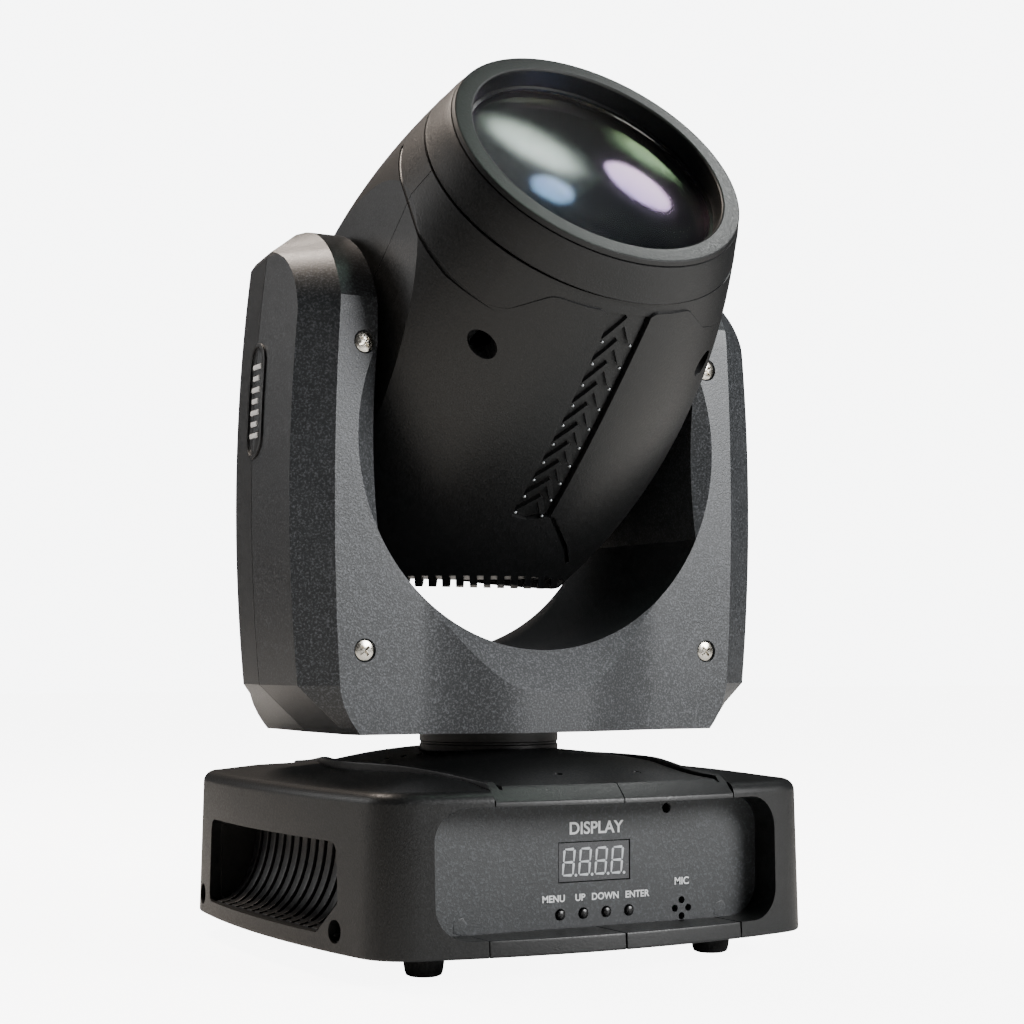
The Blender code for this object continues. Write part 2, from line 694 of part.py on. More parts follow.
def feet():
    for x_name, x in (("left", -FOOT_X), ("right", FOOT_X)):
        for y_name, y in (("front", -FOOT_Y), ("rear", FOOT_Y)):
            foot = turned(f"{y_name}_{x_name}_foot", [
                (0, -GAP), (FOOT_RADIUS - 0.5, -GAP), (FOOT_RADIUS, -1.5),
                (FOOT_RADIUS - 1.0, 1.5 - FOOT_HEIGHT), (FOOT_RADIUS - 2.5, -FOOT_HEIGHT),
                (0, -FOOT_HEIGHT)], at=(x, y, 0), steps=14)
            finish(foot, BASE, RUBBER)


# ------------------------------------------------------------------ yoke
def outer_half_x(z, inset):
    """Outer face of an arm at a height: crowned, and chamfered under the arm."""
    crown_z = max(z, YOKE_BOTTOM + FOOT_CHAMFER)
    wide = YOKE_HALF_X - OUTER_CROWN * ((crown_z - WIDEST_Z) / CROWN_SPAN) ** 2
    if z < crown_z:
        wide = between(FOOT_HALF_X, wide, (z - YOKE_BOTTOM) / FOOT_CHAMFER)
    round_in = TILT_Z + ARM_ROUND - SIDE_BEVEL - 1.0
    if z > round_in:
        share = (z - round_in) / (SIDE_BEVEL + 1.0)
        wide = between(wide, face_half_x(z, 0.0) + 1.0, share)
    return wide - inset


def face_half_x(z, inset):
    """Outer edge of the flat front face at a height."""
    wide = FACE_HALF_X - FACE_CROWN * ((z - WIDEST_Z) / CROWN_SPAN) ** 2
    if z < YOKE_BOTTOM + FOOT_CHAMFER:
        share = (YOKE_BOTTOM + FOOT_CHAMFER - z) / FOOT_CHAMFER
        wide -= 7.0 * share ** 2
    return wide - inset


def yoke_half_y(z, inset):
    limit = YOKE_HALF_Y - inset
    radius = ARM_ROUND - inset
    if z <= TILT_Z:
        return limit
    return min(limit, math.sqrt(max(radius ** 2 - (z - TILT_Z) ** 2, 1.0)))


def bevel_y(z, inset):
    radius = ARM_ROUND - SIDE_BEVEL - 1.0 - inset
    limit = YOKE_HALF_Y - SIDE_BEVEL - inset
    if z <= TILT_Z:
        return limit
    return min(limit, math.sqrt(max(radius ** 2 - (z - TILT_Z) ** 2, 0.25)))


def bulge_y(x):
    share = (abs(x) - BULGE_FLAT) / (BULGE_END - BULGE_FLAT)
    return BULGE * (1.0 - smooth(share))


def yoke_ring(z, level, inset):
    """Plan section of the fork before the space between its arms is taken out."""
    depth = yoke_half_y(level, inset)
    bevel = min(bevel_y(level, inset), depth - 0.4)
    face = face_half_x(level, inset * 0.8)
    outer = outer_half_x(level, inset)
    rear = min(REAR_SHOULDER_Y - inset * 0.5, depth - 0.3)
    shoulder = outer - REAR_SHOULDER_IN * rear / REAR_SHOULDER_Y
    shoulder = max(shoulder, face + 0.3)
    stations = (BULGE_END, 40.0, 30.0, 21.0, BULGE_FLAT)
    bulge = 1.0 if level < CRADLE_LOW + BULGE_TOP else 0.0
    right = [(BULGE_FLAT, -depth - bulge * bulge_y(BULGE_FLAT))]
    right += [(x, -depth - bulge * bulge_y(x)) for x in reversed(stations[:-1])]
    right += [(face, -depth), (outer, -bevel), (outer, 0.0), (shoulder, rear), (face, depth)]
    right += [(x, depth + bulge * bulge_y(x)) for x in stations]
    ring = right + [(-x, y) for x, y in reversed(right)]
    return [(x, y, z) for x, y in ring]


def cradle_outline(offset):
    """The space between the arms, seen from the front: straight sides on a round bottom."""
    radius = CRADLE_RADIUS + offset
    centre = CRADLE_LOW + CRADLE_RADIUS
    half = GAP_HALF_X + offset
    start = math.degrees(math.acos(half / radius))
    outline = [(half, 320.0), (-half, 320.0)]
    for step in range(CRADLE_STEPS + 1):
        angle = math.radians(between(180 + start, 360 - start, step / CRADLE_STEPS))
        outline.append((radius * math.cos(angle), centre + radius * math.sin(angle)))
    return outline


def yoke_block(name, inset=0.0):
    low = YOKE_BOTTOM + inset
    high = TILT_Z + ARM_ROUND - 0.5 - inset
    bulge_end = CRADLE_LOW + BULGE_TOP
    levels = [low, low + 3.0, low + 8.0, YOKE_BOTTOM + FOOT_CHAMFER, CRADLE_LOW + 8.5,
              bulge_end - 0.2, bulge_end + 0.2, WIDEST_Z, TILT_Z - 28.0, TILT_Z, TILT_Z + 8.0, TILT_Z + 15.0,
              TILT_Z + 22.0, TILT_Z + 29.0, TILT_Z + ARM_ROUND - SIDE_BEVEL - 1.0,
              TILT_Z + 41.5]
    levels = sorted(level for level in levels if level < high - 0.5) + [high]
    block = loft(name, [yoke_ring(level, level, inset) for level in levels])
    cut(block, slab(name + "_cradle", cradle_outline(inset), 140.0, axis="Y"))
    for side in (-1, 1):
        reach = BULGE + 2.0
        overlap = 4.0
        far = CRADLE_RADIUS + inset + reach * SCOOP_SLOPE
        near = CRADLE_RADIUS + inset - overlap * SCOOP_SLOPE
        centre_y = side * (YOKE_HALF_Y - inset + (reach - overlap) / 2)
        radii = (near, far) if side > 0 else (far, near)
        scoop = rod(f"{name}_scoop_{side}", radii[0], reach + overlap,
                    (0, centre_y, CRADLE_LOW + CRADLE_RADIUS), "Y", BIG_ARC, radii[1])
        cut(block, scoop)
    return block


def yoke_cover(name, side):
    cover = yoke_block(name)
    cut(cover, yoke_block(name + "_hollow", WALL))
    cut(cover, box(name + "_half", (260, 120, 260), (0, -side * (60.0 - GAP / 2), 180)))
    cut(cover, rod(name + "_spindle", SPINDLE_RADIUS + 1.0, 12.0, (0, 0, YOKE_BOTTOM), sides=ARC))
    cut(cover, rod(name + "_trunnions", TRUNNION_RADIUS + 3.0, 2 * (GAP_HALF_X + WALL + 1.0),
                   (0, 0, TILT_Z), "X"))
    if side < 0:
        for label, x, z in screw_spots():
            seat = turned(f"{label}_seat", [
                (0, 0.2), (SCREW_HEAD + GAP, 0.2), (SCREW_HEAD + GAP, -0.2),
                (SCREW_SHANK + GAP, SCREW_SHANK - SCREW_HEAD - 0.2),
                (SCREW_SHANK + GAP, -WALL - 2.0), (0, -WALL - 2.0)],
                at=(x, -YOKE_HALF_Y, z), steps=12)
            seat.rotation_euler.x = math.pi / 2
            cut(cover, seat)
    return finish(cover, YOKE, GREY_PLASTIC)


def screw_spots():
    return (("upper_left_screw", -SCREW_X, SCREW_HIGH), ("upper_right_screw", SCREW_X, SCREW_HIGH),
            ("lower_left_screw", -SCREW_X, SCREW_LOW), ("lower_right_screw", SCREW_X, SCREW_LOW))


def cover_screws():
    for label, x, z in screw_spots():
        screw = turned(label, [
            (0, -0.1), (SCREW_HEAD, -0.1), (SCREW_HEAD, -0.5),
            (SCREW_SHANK, SCREW_SHANK - SCREW_HEAD - 0.5), (SCREW_SHANK, -SCREW_LENGTH),
            (0, -SCREW_LENGTH)], at=(x, -YOKE_HALF_Y, z), steps=12)
        screw.rotation_euler.x = math.pi / 2
        for index, turn in enumerate((45.0, 135.0)):
            slot = box(f"{label}_slot_{index}", (4.4, 2.0, 0.9), (x, -YOKE_HALF_Y, z))
            slot.rotation_euler.y = math.radians(turn)
            cut(screw, slot)
        finish(screw, YOKE, BRIGHT_NICKEL)


def yoke_frame():
    """A steel fork: a floor plate, two side plates and the bosses that take the screws."""
    floor_z = YOKE_BOTTOM + WALL + 0.5
    half_x = FRAME_X + FRAME_SHEET
    frame = box("yoke_frame", (2 * half_x, 2 * FRAME_HALF_Y, FRAME_SHEET),
                (0, 0, floor_z + FRAME_SHEET / 2))
    top = TILT_Z + 26.0
    for side in (-1, 1):
        join(frame, box(f"fork_side_{side}", (FRAME_SHEET, 2 * FRAME_HALF_Y, top - floor_z),
                        (side * (FRAME_X + FRAME_SHEET / 2), 0, (top + floor_z) / 2)))
    depth = YOKE_HALF_Y - WALL - 2.0 - FRAME_HALF_Y
    for label, x, z in screw_spots():
        boss = box(label + "_boss", (7.0, depth + 4.0, 7.0),
                   (x + math.copysign(1.6, x), -FRAME_HALF_Y - depth / 2 + 2.0, z))
        join(frame, boss)
    for label, x, z in screw_spots():
        cut(frame, rod(label + "_thread", SCREW_SHANK + GAP, 2 * SCREW_LENGTH + 1.0,
                       (x, -YOKE_HALF_Y, z), "Y", sides=16))
    cut(frame, rod("frame_bearing_hole", SPINDLE_RADIUS + RACE + 2 * GAP, 20, (0, 0, floor_z)))
    cut(frame, rod("frame_trunnion_holes", TRUNNION_RADIUS + RACE + 2 * GAP, 200,
                   (0, 0, TILT_Z), "X"))
    return finish(frame, YOKE, SHEET_STEEL)


def bearing(name, bore, at, axis):
    ring = turned(name, [
        (bore + GAP, BEARING_WIDTH / 2), (bore + GAP + RACE, BEARING_WIDTH / 2),
        (bore + GAP + RACE, -BEARING_WIDTH / 2), (bore + GAP, -BEARING_WIDTH / 2)],
        at=at, axis=axis, ring=True)
    return finish(ring, YOKE, BRIGHT_STEEL)


def belt_outline(big, small, distance, offset):
    """Round a pulley at the origin and a pinion at -distance, straight along the tangents."""
    lean = math.degrees(math.asin((big - small) / distance))
    outline = []
    for centre, radius, start, end, steps in ((0.0, big, -90.0 - lean, 90.0 + lean, 18),
                                              (-distance, small, 90.0 + lean, 270.0 - lean, 8)):
        for step in range(steps + 1):
            turn = math.radians(between(start, end, step / steps))
            outline.append((centre + (radius + offset) * math.cos(turn),
                            (radius + offset) * math.sin(turn)))
    return outline


def drive_belt(name, big, distance, at, axis):
    """A toothed belt whose pinion lies at -X of the pulley, or below it on an X axis."""
    outer = belt_outline(big, PINION_RADIUS, distance, GAP + BELT_THICK)
    inner = belt_outline(big, PINION_RADIUS, distance, GAP)
    if axis == "X":
        outer = [(v, u) for u, v in outer]
        inner = [(v, u) for u, v in inner]
    belt = slab(name, outer, BELT_WIDTH, at, axis)
    return cut(belt, slab(name + "_inside", inner, 2 * BELT_WIDTH, at, axis))


def pinion(name, at, axis, body):
    wheel = turned(name, [
        (MOTOR_SHAFT + GAP, BELT_WIDTH / 2 + 0.8), (PINION_RADIUS, BELT_WIDTH / 2 + 0.8),
        (PINION_RADIUS, -BELT_WIDTH / 2 - 0.8), (MOTOR_SHAFT + GAP, -BELT_WIDTH / 2 - 0.8)],
        at=at, axis=axis, steps=20, ring=True)
    return finish(wheel, body, CAST_ALLOY)


def pan_drive():
    floor = YOKE_BOTTOM + WALL + 0.5 + FRAME_SHEET + GAP
    low = PAN_DRIVE_Z + BELT_WIDTH / 2 + 2.0
    motor = box("pan_motor", (MOTOR_SIDE, MOTOR_SIDE, PAN_MOTOR_LENGTH),
                (PAN_MOTOR_X, 0, low + PAN_MOTOR_LENGTH / 2))
    join(motor, rod("pan_motor_shaft", MOTOR_SHAFT, low - floor + 1.0,
                    (PAN_MOTOR_X, 0, (low + floor + 1.0) / 2), sides=12))
    for side in (-1, 1):
        join(motor, rod(f"pan_motor_post_{side}", 1.8, low - floor + 1.0,
                        (PAN_MOTOR_X - 14.0, side * 14.0, (low + floor + 1.0) / 2), sides=10))
    finish(motor, YOKE, MOTOR_BLACK)
    finish(drive_belt("pan_belt", PAN_PULLEY_RADIUS, -PAN_MOTOR_X, (0, 0, PAN_DRIVE_Z), "Z"),
           YOKE, RUBBER)
    pivot = empty("pan_pinion_axis", (PAN_MOTOR_X, 0, PAN_DRIVE_Z), YOKE)
    pinion("pan_motor_pulley", (0, 0, 0), "Z", pivot)


def tilt_drive():
    inner = FRAME_X + FRAME_SHEET + GAP
    near = TILT_BELT_X + BELT_WIDTH / 2 + 1.2
    motor = box("tilt_motor", (TILT_MOTOR_LENGTH, MOTOR_SIDE, MOTOR_SIDE),
                (near + TILT_MOTOR_LENGTH / 2, 0, TILT_MOTOR_Z))
    join(motor, rod("tilt_motor_shaft", MOTOR_SHAFT, near - inner + 1.0,
                    ((near + inner + 1.0) / 2, 0, TILT_MOTOR_Z), "X", sides=12))
    for index, (y, z) in enumerate(((-14, -14), (14, -14), (-14, 12), (14, 12))):
        join(motor, rod(f"tilt_motor_post_{index}", 1.8, near - inner + 1.0,
                        ((near + inner + 1.0) / 2, y, TILT_MOTOR_Z + z), "X", sides=10))
    finish(motor, YOKE, MOTOR_BLACK)
    distance = TILT_Z - TILT_MOTOR_Z
    belt = drive_belt("tilt_belt", TILT_PULLEY_RADIUS, distance, (TILT_BELT_X, 0, TILT_Z), "X")
    finish(belt, YOKE, RUBBER)
    pivot = empty("tilt_pinion_axis", (TILT_BELT_X, 0, TILT_MOTOR_Z), YOKE)
    pinion("tilt_motor_pulley", (0, 0, 0), "X", pivot)
    for name, side in (("left_tilt_bearing", -1), ("right_tilt_bearing", 1)):
        reach = GAP_HALF_X + WALL + GAP + BEARING_WIDTH / 2
        bearing(name, TRUNNION_RADIUS, (side * reach, 0, TILT_Z), "X")
    bearing("pan_bearing", SPINDLE_RADIUS,
            (0, 0, YOKE_BOTTOM + WALL + 0.3 + BEARING_WIDTH / 2), "Z")


# ------------------------------------------------------------------ head
def head_profile(inset, front):
    """Half section of the head's body: a long barrel curve and a flattish domed rear."""
    profile = []
    if inset:
        profile.append((0.0, front))
    for step in range(6):
        s = between(front, HEAD_SHOULDER, step / 5)
        profile.append((HEAD_RADIUS - inset - s * s / (2 * HEAD_CURVE), s))
    shoulder = profile[-1][0]
    depth = HEAD_SHOULDER + HEAD_SWEEP - inset
    for degrees in (22, 45, 68):
        angle = math.radians(degrees)
        profile.append((shoulder * math.cos(angle) ** 0.6, HEAD_SHOULDER - depth * math.sin(angle)))
    profile.append((0.0, inset - HEAD_SWEEP))
    if not inset:
        profile.insert(0, (0.0, front))
    return profile


def head_body(name, inset, front):
    """The turned body, flat at its sides and swept round behind the tilt axis."""
    body = turned(name, head_profile(inset, front), steps=BIG_ARC)
    common(body, box(name + "_flats", (2 * (HEAD_FLAT_X - inset), 200, 240), (0, 0, 0)))
    radius = HEAD_SWEEP - inset
    outline = [(radius, 120.0), (-radius, 120.0)]
    for step in range(SWEEP_STEPS + 1):
        angle = math.pi * (1.0 + step / SWEEP_STEPS)
        outline.append((radius * math.cos(angle), radius * math.sin(angle)))
    return common(body, slab(name + "_sweep", outline, 200.0, axis="X"))


def head_shell(name, side):
    shell = head_body(name, 0.0, HEAD_FRONT)
    hollow = head_body(name + "_hollow", HEAD_WALL, HEAD_FRONT + 2.0)
    cut(shell, hollow)
    cut(shell, box(name + "_half", (200, 120, 240), (0, -side * (60.0 - GAP / 2), 0)))
    cut(shell, rod(name + "_trunnions", TRUNNION_RADIUS + GAP, 200, (0, 0, 0), "X"))
    for index in range(RIB_SLOTS):
        x = (index - (RIB_SLOTS - 1) / 2) * RIB_PITCH
        cut(shell, box(f"{name}_rib_slot_{index}", (RIB_PITCH * 0.45, 38.0, 40.0),
                       (x, side * 44.0, 10.0 - HEAD_SWEEP)))
    if side < 0:
        for x in (-RECESS_X, RECESS_X):
            cut(shell, rod(f"{name}_recess_{x:+.0f}", RECESS_RADIUS, 30.0, (x, -60.0, RECESS_S),
                           "Y", sides=16))
    return finish(shell, HEAD, BLACK_PLASTIC)


def head_front_pieces():
    seat = RIM_OPENING + LENS_OVERLAP
    rear = HEAD_FRONT + GAP
    rear_radius = HEAD_RADIUS - rear ** 2 / (2 * HEAD_CURVE)
    bezel = turned("lens_bezel", [
        (RIM_OPENING, RIM_FRONT), (RIM_RADIUS, RIM_FRONT), (RIM_RADIUS + 0.5, RIM_FRONT - 1.4),
        (rear_radius, rear), (seat + GAP, rear),
        (seat + GAP, LENS_EDGE + GAP), (RIM_OPENING, LENS_EDGE + GAP)], steps=BIG_ARC, ring=True)
    finish(bezel, HEAD, BLACK_PLASTIC)
    lens = turned("objective_lens", [(0, LENS_EDGE + LENS_SAG)] + [
        (seat * math.sin(math.radians(angle)) / math.sin(math.radians(36)),
         LENS_EDGE + LENS_SAG * (math.cos(math.radians(angle)) - math.cos(math.radians(36)))
         / (1 - math.cos(math.radians(36)))) for angle in (9, 18, 27, 36)] + [
        (seat, LENS_EDGE - LENS_EDGE_THICK), (0, LENS_EDGE - LENS_EDGE_THICK)], steps=BIG_ARC)
    finish(lens, HEAD, GLASS)
    rear = LENS_EDGE - LENS_EDGE_THICK - GAP
    cone = turned("lens_cone", [
        (RIM_OPENING - 3.0, rear), (seat + 6.0, rear), (seat + 6.0, rear - 2.0),
        (38.0, BENCH_FRONT + BENCH_SHEET + GAP), (36.0, BENCH_FRONT + BENCH_SHEET + GAP)],
        steps=BIG_ARC, ring=True)
    finish(cone, HEAD, MATT_BLACK)


def head_bench():
    """The bench that carries the optics: two side plates, a rear plate and a front plate."""
    length = BENCH_FRONT + BENCH_SHEET - BENCH_REAR
    middle = (BENCH_FRONT + BENCH_SHEET + BENCH_REAR) / 2
    bench = box("head_frame", (2 * BENCH_HALF_X, 2 * BENCH_HALF_Y, BENCH_SHEET),
                (0, 0, BENCH_REAR + BENCH_SHEET / 2))
    join(bench, box("bench_front", (2 * BENCH_HALF_X, 2 * BENCH_HALF_Y, BENCH_SHEET),
                    (0, 0, BENCH_FRONT + BENCH_SHEET / 2)))
    for side in (-1, 1):
        join(bench, box(f"bench_side_{side}", (BENCH_SHEET, 2 * BENCH_HALF_Y, length),
                        (side * (BENCH_HALF_X + BENCH_SHEET / 2 - 0.5), 0, middle)))
        rod_at = (side * FOCUS_ROD_X, 0, (BENCH_FRONT + 4.0) / 2 + 2.0)
        join(bench, rod(f"focus_rail_{side}", FOCUS_ROD, BENCH_FRONT - 2.0, rod_at, sides=12))
    for name, x, top in (("colour_spigot", -WHEEL_OFFSET, COLOUR_WHEEL_S),
                         ("gobo_spigot", WHEEL_OFFSET, GOBO_WHEEL_S)):
        join(bench, rod(name, SPIGOT_RADIUS, top - BENCH_REAR, (x, 0, (top + BENCH_REAR) / 2 + 1.0),
                        sides=12))
    cut(bench, rod("light_path_rear", 16.0, 8.0, (0, 0, BENCH_REAR), sides=ARC))
    cut(bench, rod("light_path_front", 30.0, 8.0, (0, 0, BENCH_FRONT), sides=ARC))
    return finish(bench, HEAD, SHEET_STEEL)


def trunnions():
    inner = BENCH_HALF_X + BENCH_SHEET + GAP
    for name, side, reach in (("left_trunnion", -1, FRAME_X + 6.0),
                              ("right_trunnion", 1, TILT_BELT_X + BELT_WIDTH / 2 + 1.0)):
        flange = 2.5
        piece = rod(name, TRUNNION_RADIUS, reach - inner, (side * (reach + inner) / 2, 0, 0), "X")
        join(piece, rod(name + "_flange", TRUNNION_RADIUS + 8.0, flange,
                        (side * (inner + flange / 2), 0, 0), "X"))
        cut(piece, rod(name + "_bore", TRUNNION_RADIUS - 2.5, 60.0,
                       (side * (reach + inner) / 2, 0, 0), "X", sides=16))
        finish(piece, HEAD, CAST_ALLOY)
    width = BELT_WIDTH / 2 + 0.5
    pulley = turned("tilt_pulley", [
        (TRUNNION_RADIUS + GAP, width), (TILT_PULLEY_RADIUS, width),
        (TILT_PULLEY_RADIUS, -width), (TRUNNION_RADIUS + GAP, -width)],
        at=(TILT_BELT_X, 0, 0), axis="X", steps=24, ring=True)
    finish(pulley, HEAD, CAST_ALLOY)


def light_engine():
    """A light module on a finned heat sink, with a fan blowing through the rear vents."""
    front = BENCH_REAR - GAP
    sink = box("heat_sink", SINK_SIZE, (0, 0, front - SINK_SIZE[2] / 2))
    fin_front = front - SINK_SIZE[2]
    spread = (SINK_SIZE[0] - FIN_SHEET) / 2
    for index in range(FIN_COUNT):
        x = between(-spread, spread, index / (FIN_COUNT - 1))
        join(sink, box(f"fin_{index}", (FIN_SHEET, SINK_SIZE[1], FIN_DEPTH + 1.0),
                       (x, 0, fin_front - FIN_DEPTH / 2 + 0.5)))
    finish(sink, HEAD, CAST_ALLOY)
    led = rod("led_module", LED_RADIUS, LED_HEIGHT + BENCH_SHEET,
              (0, 0, BENCH_REAR + (LED_HEIGHT + BENCH_SHEET) / 2), sides=20)
    finish(led, HEAD, BOARD_GREEN)
    front = fin_front - FIN_DEPTH - GAP
    middle = front - FAN_DEPTH / 2
    bore = FAN_SIDE / 2 - FAN_WALL
    frame = box("head_fan_frame", (FAN_SIDE, FAN_SIDE, FAN_DEPTH), (0, 0, middle))
    cut(frame, rod("fan_bore", bore, FAN_DEPTH * 2, (0, 0, middle), sides=32))
    strut_s = front - FAN_STRUT / 2
    join(frame, box("fan_strut", (FAN_SIDE - 1.0, 3.0, FAN_STRUT), (0, 0, strut_s)))
    join(frame, rod("fan_boss", FAN_HUB - 3.0, FAN_STRUT, (0, 0, strut_s), sides=16))
    finish(frame, HEAD, MATT_BLACK)
    rotor_depth = FAN_DEPTH - FAN_STRUT - 3 * GAP
    pivot = empty("fan_axis", (0, 0, front - FAN_STRUT - GAP - rotor_depth / 2), HEAD)
    rotor = rod("head_fan_rotor", FAN_HUB, rotor_depth, (0, 0, 0), sides=20)
    root, tip = FAN_HUB - 2.0, bore - FAN_TIP_GAP
    for index in range(FAN_BLADES):
        blade = box(f"fan_blade_{index}", (tip - root, 1.2, rotor_depth - 2 * GAP), (0, 0, 0))
        turn = 2 * math.pi * index / FAN_BLADES
        reach = (tip + root) / 2 * MM
        blade.location = (reach * math.cos(turn), reach * math.sin(turn), 0)
        blade.rotation_euler = (0.0, 0.0, turn)
        join(rotor, blade)
    finish(rotor, pivot, MATT_BLACK)


def filter_wheel(name, x, s):
    """A disc on its own axis, whose apertures pass through the beam one by one."""
    side = math.copysign(1.0, -x)
    radius = WHEEL_OFFSET + APERTURE + WHEEL_RIM
    pivot = empty(name + "_axis", (x, 0, s), HEAD)
    wheel = turned(name, [
        (SPIGOT_RADIUS + GAP, 3.0), (WHEEL_HUB, 3.0), (WHEEL_HUB, WHEEL_SHEET / 2),
        (radius, WHEEL_SHEET / 2), (radius, -WHEEL_SHEET / 2),
        (SPIGOT_RADIUS + GAP, -WHEEL_SHEET / 2)],
        steps=16, ring=True)
    wheel.rotation_euler.z = math.radians(3.0)
    for index in range(APERTURES):
        turn = 2 * math.pi * index / APERTURES
        spot = (side * WHEEL_OFFSET * math.cos(turn), WHEEL_OFFSET * math.sin(turn), 0)
        cut(wheel, rod(f"{name}_aperture_{index}", APERTURE, 6.0, spot, sides=8))
    return finish(wheel, pivot, BRIGHT_STEEL)


def prism():
    reach = math.hypot(*PRISM_PIVOT)
    towards_beam = math.atan2(-PRISM_PIVOT[1], -PRISM_PIVOT[0])
    pivot = empty("prism_axis", (*PRISM_PIVOT, PRISM_S), HEAD)
    arm = rod("prism_arm", PRISM_RADIUS, PRISM_THICK, (0, 0, 0), sides=20)
    turn = towards_beam + math.radians(PRISM_REST)
    arm.location = (reach * math.cos(turn) * MM, reach * math.sin(turn) * MM, 0)
    bar = box("prism_bar", (reach - 4.0, 7.0, 2.0), (0, 0, 0))
    bar.location = (reach / 2 * math.cos(turn) * MM, reach / 2 * math.sin(turn) * MM, 0)
    bar.rotation_euler = (0, 0, turn)
    join(arm, bar, rod("prism_hub", PRISM_HUB, PRISM_THICK, (0, 0, 0), sides=16))
    return finish(arm, pivot, BRIGHT_STEEL)


def focus_carriage():
    half = FOCUS_ROD_X + FOCUS_ROD + 4.0
    carriage = box("focus_carriage", (2 * half, 14.0, 4.0), (0, 0, FOCUS_S))
    join(carriage, rod("focus_ring", FOCUS_RADIUS + 3.0, 8.0, (0, 0, FOCUS_S), sides=32))
    for side in (-1, 1):
        cut(carriage, rod(f"focus_bush_{side}", FOCUS_ROD + GAP, 20.0,
                          (side * FOCUS_ROD_X, 0, FOCUS_S), sides=12))
    return finish(carriage, HEAD, MATT_BLACK)


# ------------------------------------------------------------------ assembly
for old in list(bpy.data.objects):
    bpy.data.objects.remove(old)

PARTS = collection("moving_head_light")
CUTTERS = collection("cutters")

BLACK_PLASTIC = material("black_textured_abs", (0.012, 0.012, 0.013), 0.5)
GREY_PLASTIC = material("graphite_painted_abs", (0.055, 0.057, 0.06), 0.42, 0.2)
MATT_BLACK = material("matt_black_lining", (0.006, 0.006, 0.006), 0.7)
PANEL_STEEL = material("powder_coated_steel", (0.03, 0.031, 0.033), 0.5, 0.2)
SHEET_STEEL = material("zinc_plated_steel", (0.42, 0.43, 0.44), 0.38, 1.0)
BRIGHT_STEEL = material("bright_steel", (0.6, 0.6, 0.6), 0.25, 1.0)
BRIGHT_NICKEL = material("nickel_plated_steel", (0.66, 0.64, 0.6), 0.22, 1.0)
CAST_ALLOY = material("cast_aluminium", (0.5, 0.5, 0.51), 0.45, 1.0)
MOTOR_BLACK = material("black_enamel", (0.01, 0.01, 0.011), 0.35)
BOARD_GREEN = material("solder_mask", (0.01, 0.09, 0.035), 0.4)
DISPLAY_SMOKE = material("smoked_display", (0.02, 0.02, 0.022), 0.15)
BUTTON_BLACK = material("black_button", (0.01, 0.01, 0.01), 0.4)
RUBBER = material("black_rubber", (0.012, 0.012, 0.012), 0.8)
GLASS = material("coated_glass", (0.75, 0.8, 0.85), 0.03)

BASE = empty("base_body")
YOKE = empty("pan_axis")
HEAD = empty("tilt_axis", (0, 0, TILT_Z), YOKE, REST_TILT)

base_plate()
side_cover("left_side_cover", -1)
side_cover("right_side_cover", 1)
louvre("left_louvre", -1)
louvre("right_louvre", 1)
top_cover()
sill("front_sill", -1)
sill("rear_sill", 1)
front_panel()
front_electronics()
rear_connectors()
base_inside()
feet()

yoke_frame()
yoke_cover("yoke_front_cover", -1)
yoke_cover("yoke_rear_cover", 1)
cover_screws()
pan_drive()
tilt_drive()

head_shell("head_lower_shell", -1)
head_shell("head_upper_shell", 1)
head_front_pieces()
head_bench()
trunnions()
light_engine()
filter_wheel("colour_wheel", -WHEEL_OFFSET, COLOUR_WHEEL_S)
filter_wheel("gobo_wheel", WHEEL_OFFSET, GOBO_WHEEL_S)
prism()
focus_carriage()
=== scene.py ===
# %% [markdown]
# A compact moving head light: a beam head that tilts in a fork, on a base that the fork turns on.
# The frame gives every part its place, so the finished pieces here only add the shape and the
# surface that the plain parts lack. Sizes are worked in millimetres and placed in metres.

# %% Load the frame
import json
import math

import bmesh
import bpy
from mathutils import Matrix, Vector


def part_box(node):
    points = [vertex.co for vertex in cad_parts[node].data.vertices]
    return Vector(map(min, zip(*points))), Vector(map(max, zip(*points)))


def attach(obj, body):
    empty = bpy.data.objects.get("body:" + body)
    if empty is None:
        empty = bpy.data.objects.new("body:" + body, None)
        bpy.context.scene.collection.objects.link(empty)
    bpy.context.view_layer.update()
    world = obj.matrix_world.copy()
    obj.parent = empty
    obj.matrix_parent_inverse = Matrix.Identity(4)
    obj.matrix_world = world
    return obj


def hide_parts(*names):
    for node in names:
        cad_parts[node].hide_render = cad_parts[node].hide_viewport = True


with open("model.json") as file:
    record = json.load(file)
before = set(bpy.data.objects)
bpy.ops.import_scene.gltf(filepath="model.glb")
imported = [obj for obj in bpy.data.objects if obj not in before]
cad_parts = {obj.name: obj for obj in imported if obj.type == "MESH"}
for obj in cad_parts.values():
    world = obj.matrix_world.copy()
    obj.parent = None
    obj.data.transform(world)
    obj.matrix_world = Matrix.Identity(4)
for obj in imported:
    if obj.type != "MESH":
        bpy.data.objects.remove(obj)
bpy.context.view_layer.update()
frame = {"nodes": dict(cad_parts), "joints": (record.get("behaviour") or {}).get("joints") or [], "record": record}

MM = 0.001
TILT_Z = next(joint for joint in frame["joints"] if joint["name"] == "tilt")["pos_m"][2] / MM


# %% [markdown]
# Most of the light is moulded plastic, and a real moulding is never one flat colour. Its grain
# scatters the light in fine specks, and handling leaves faint cloudy patches. One helper adds a
# shader node with its settings and links, and each finish is built from it.

# %% Colours and nodes
def linear(hexcode):
    """Turn an sRGB hex colour into the linear values that shaders use."""
    channels = [int(hexcode[start:start + 2], 16) / 255 for start in (1, 3, 5)]
    return (*[c / 12.92 if c <= 0.04045 else ((c + 0.055) / 1.055) ** 2.4 for c in channels], 1.0)


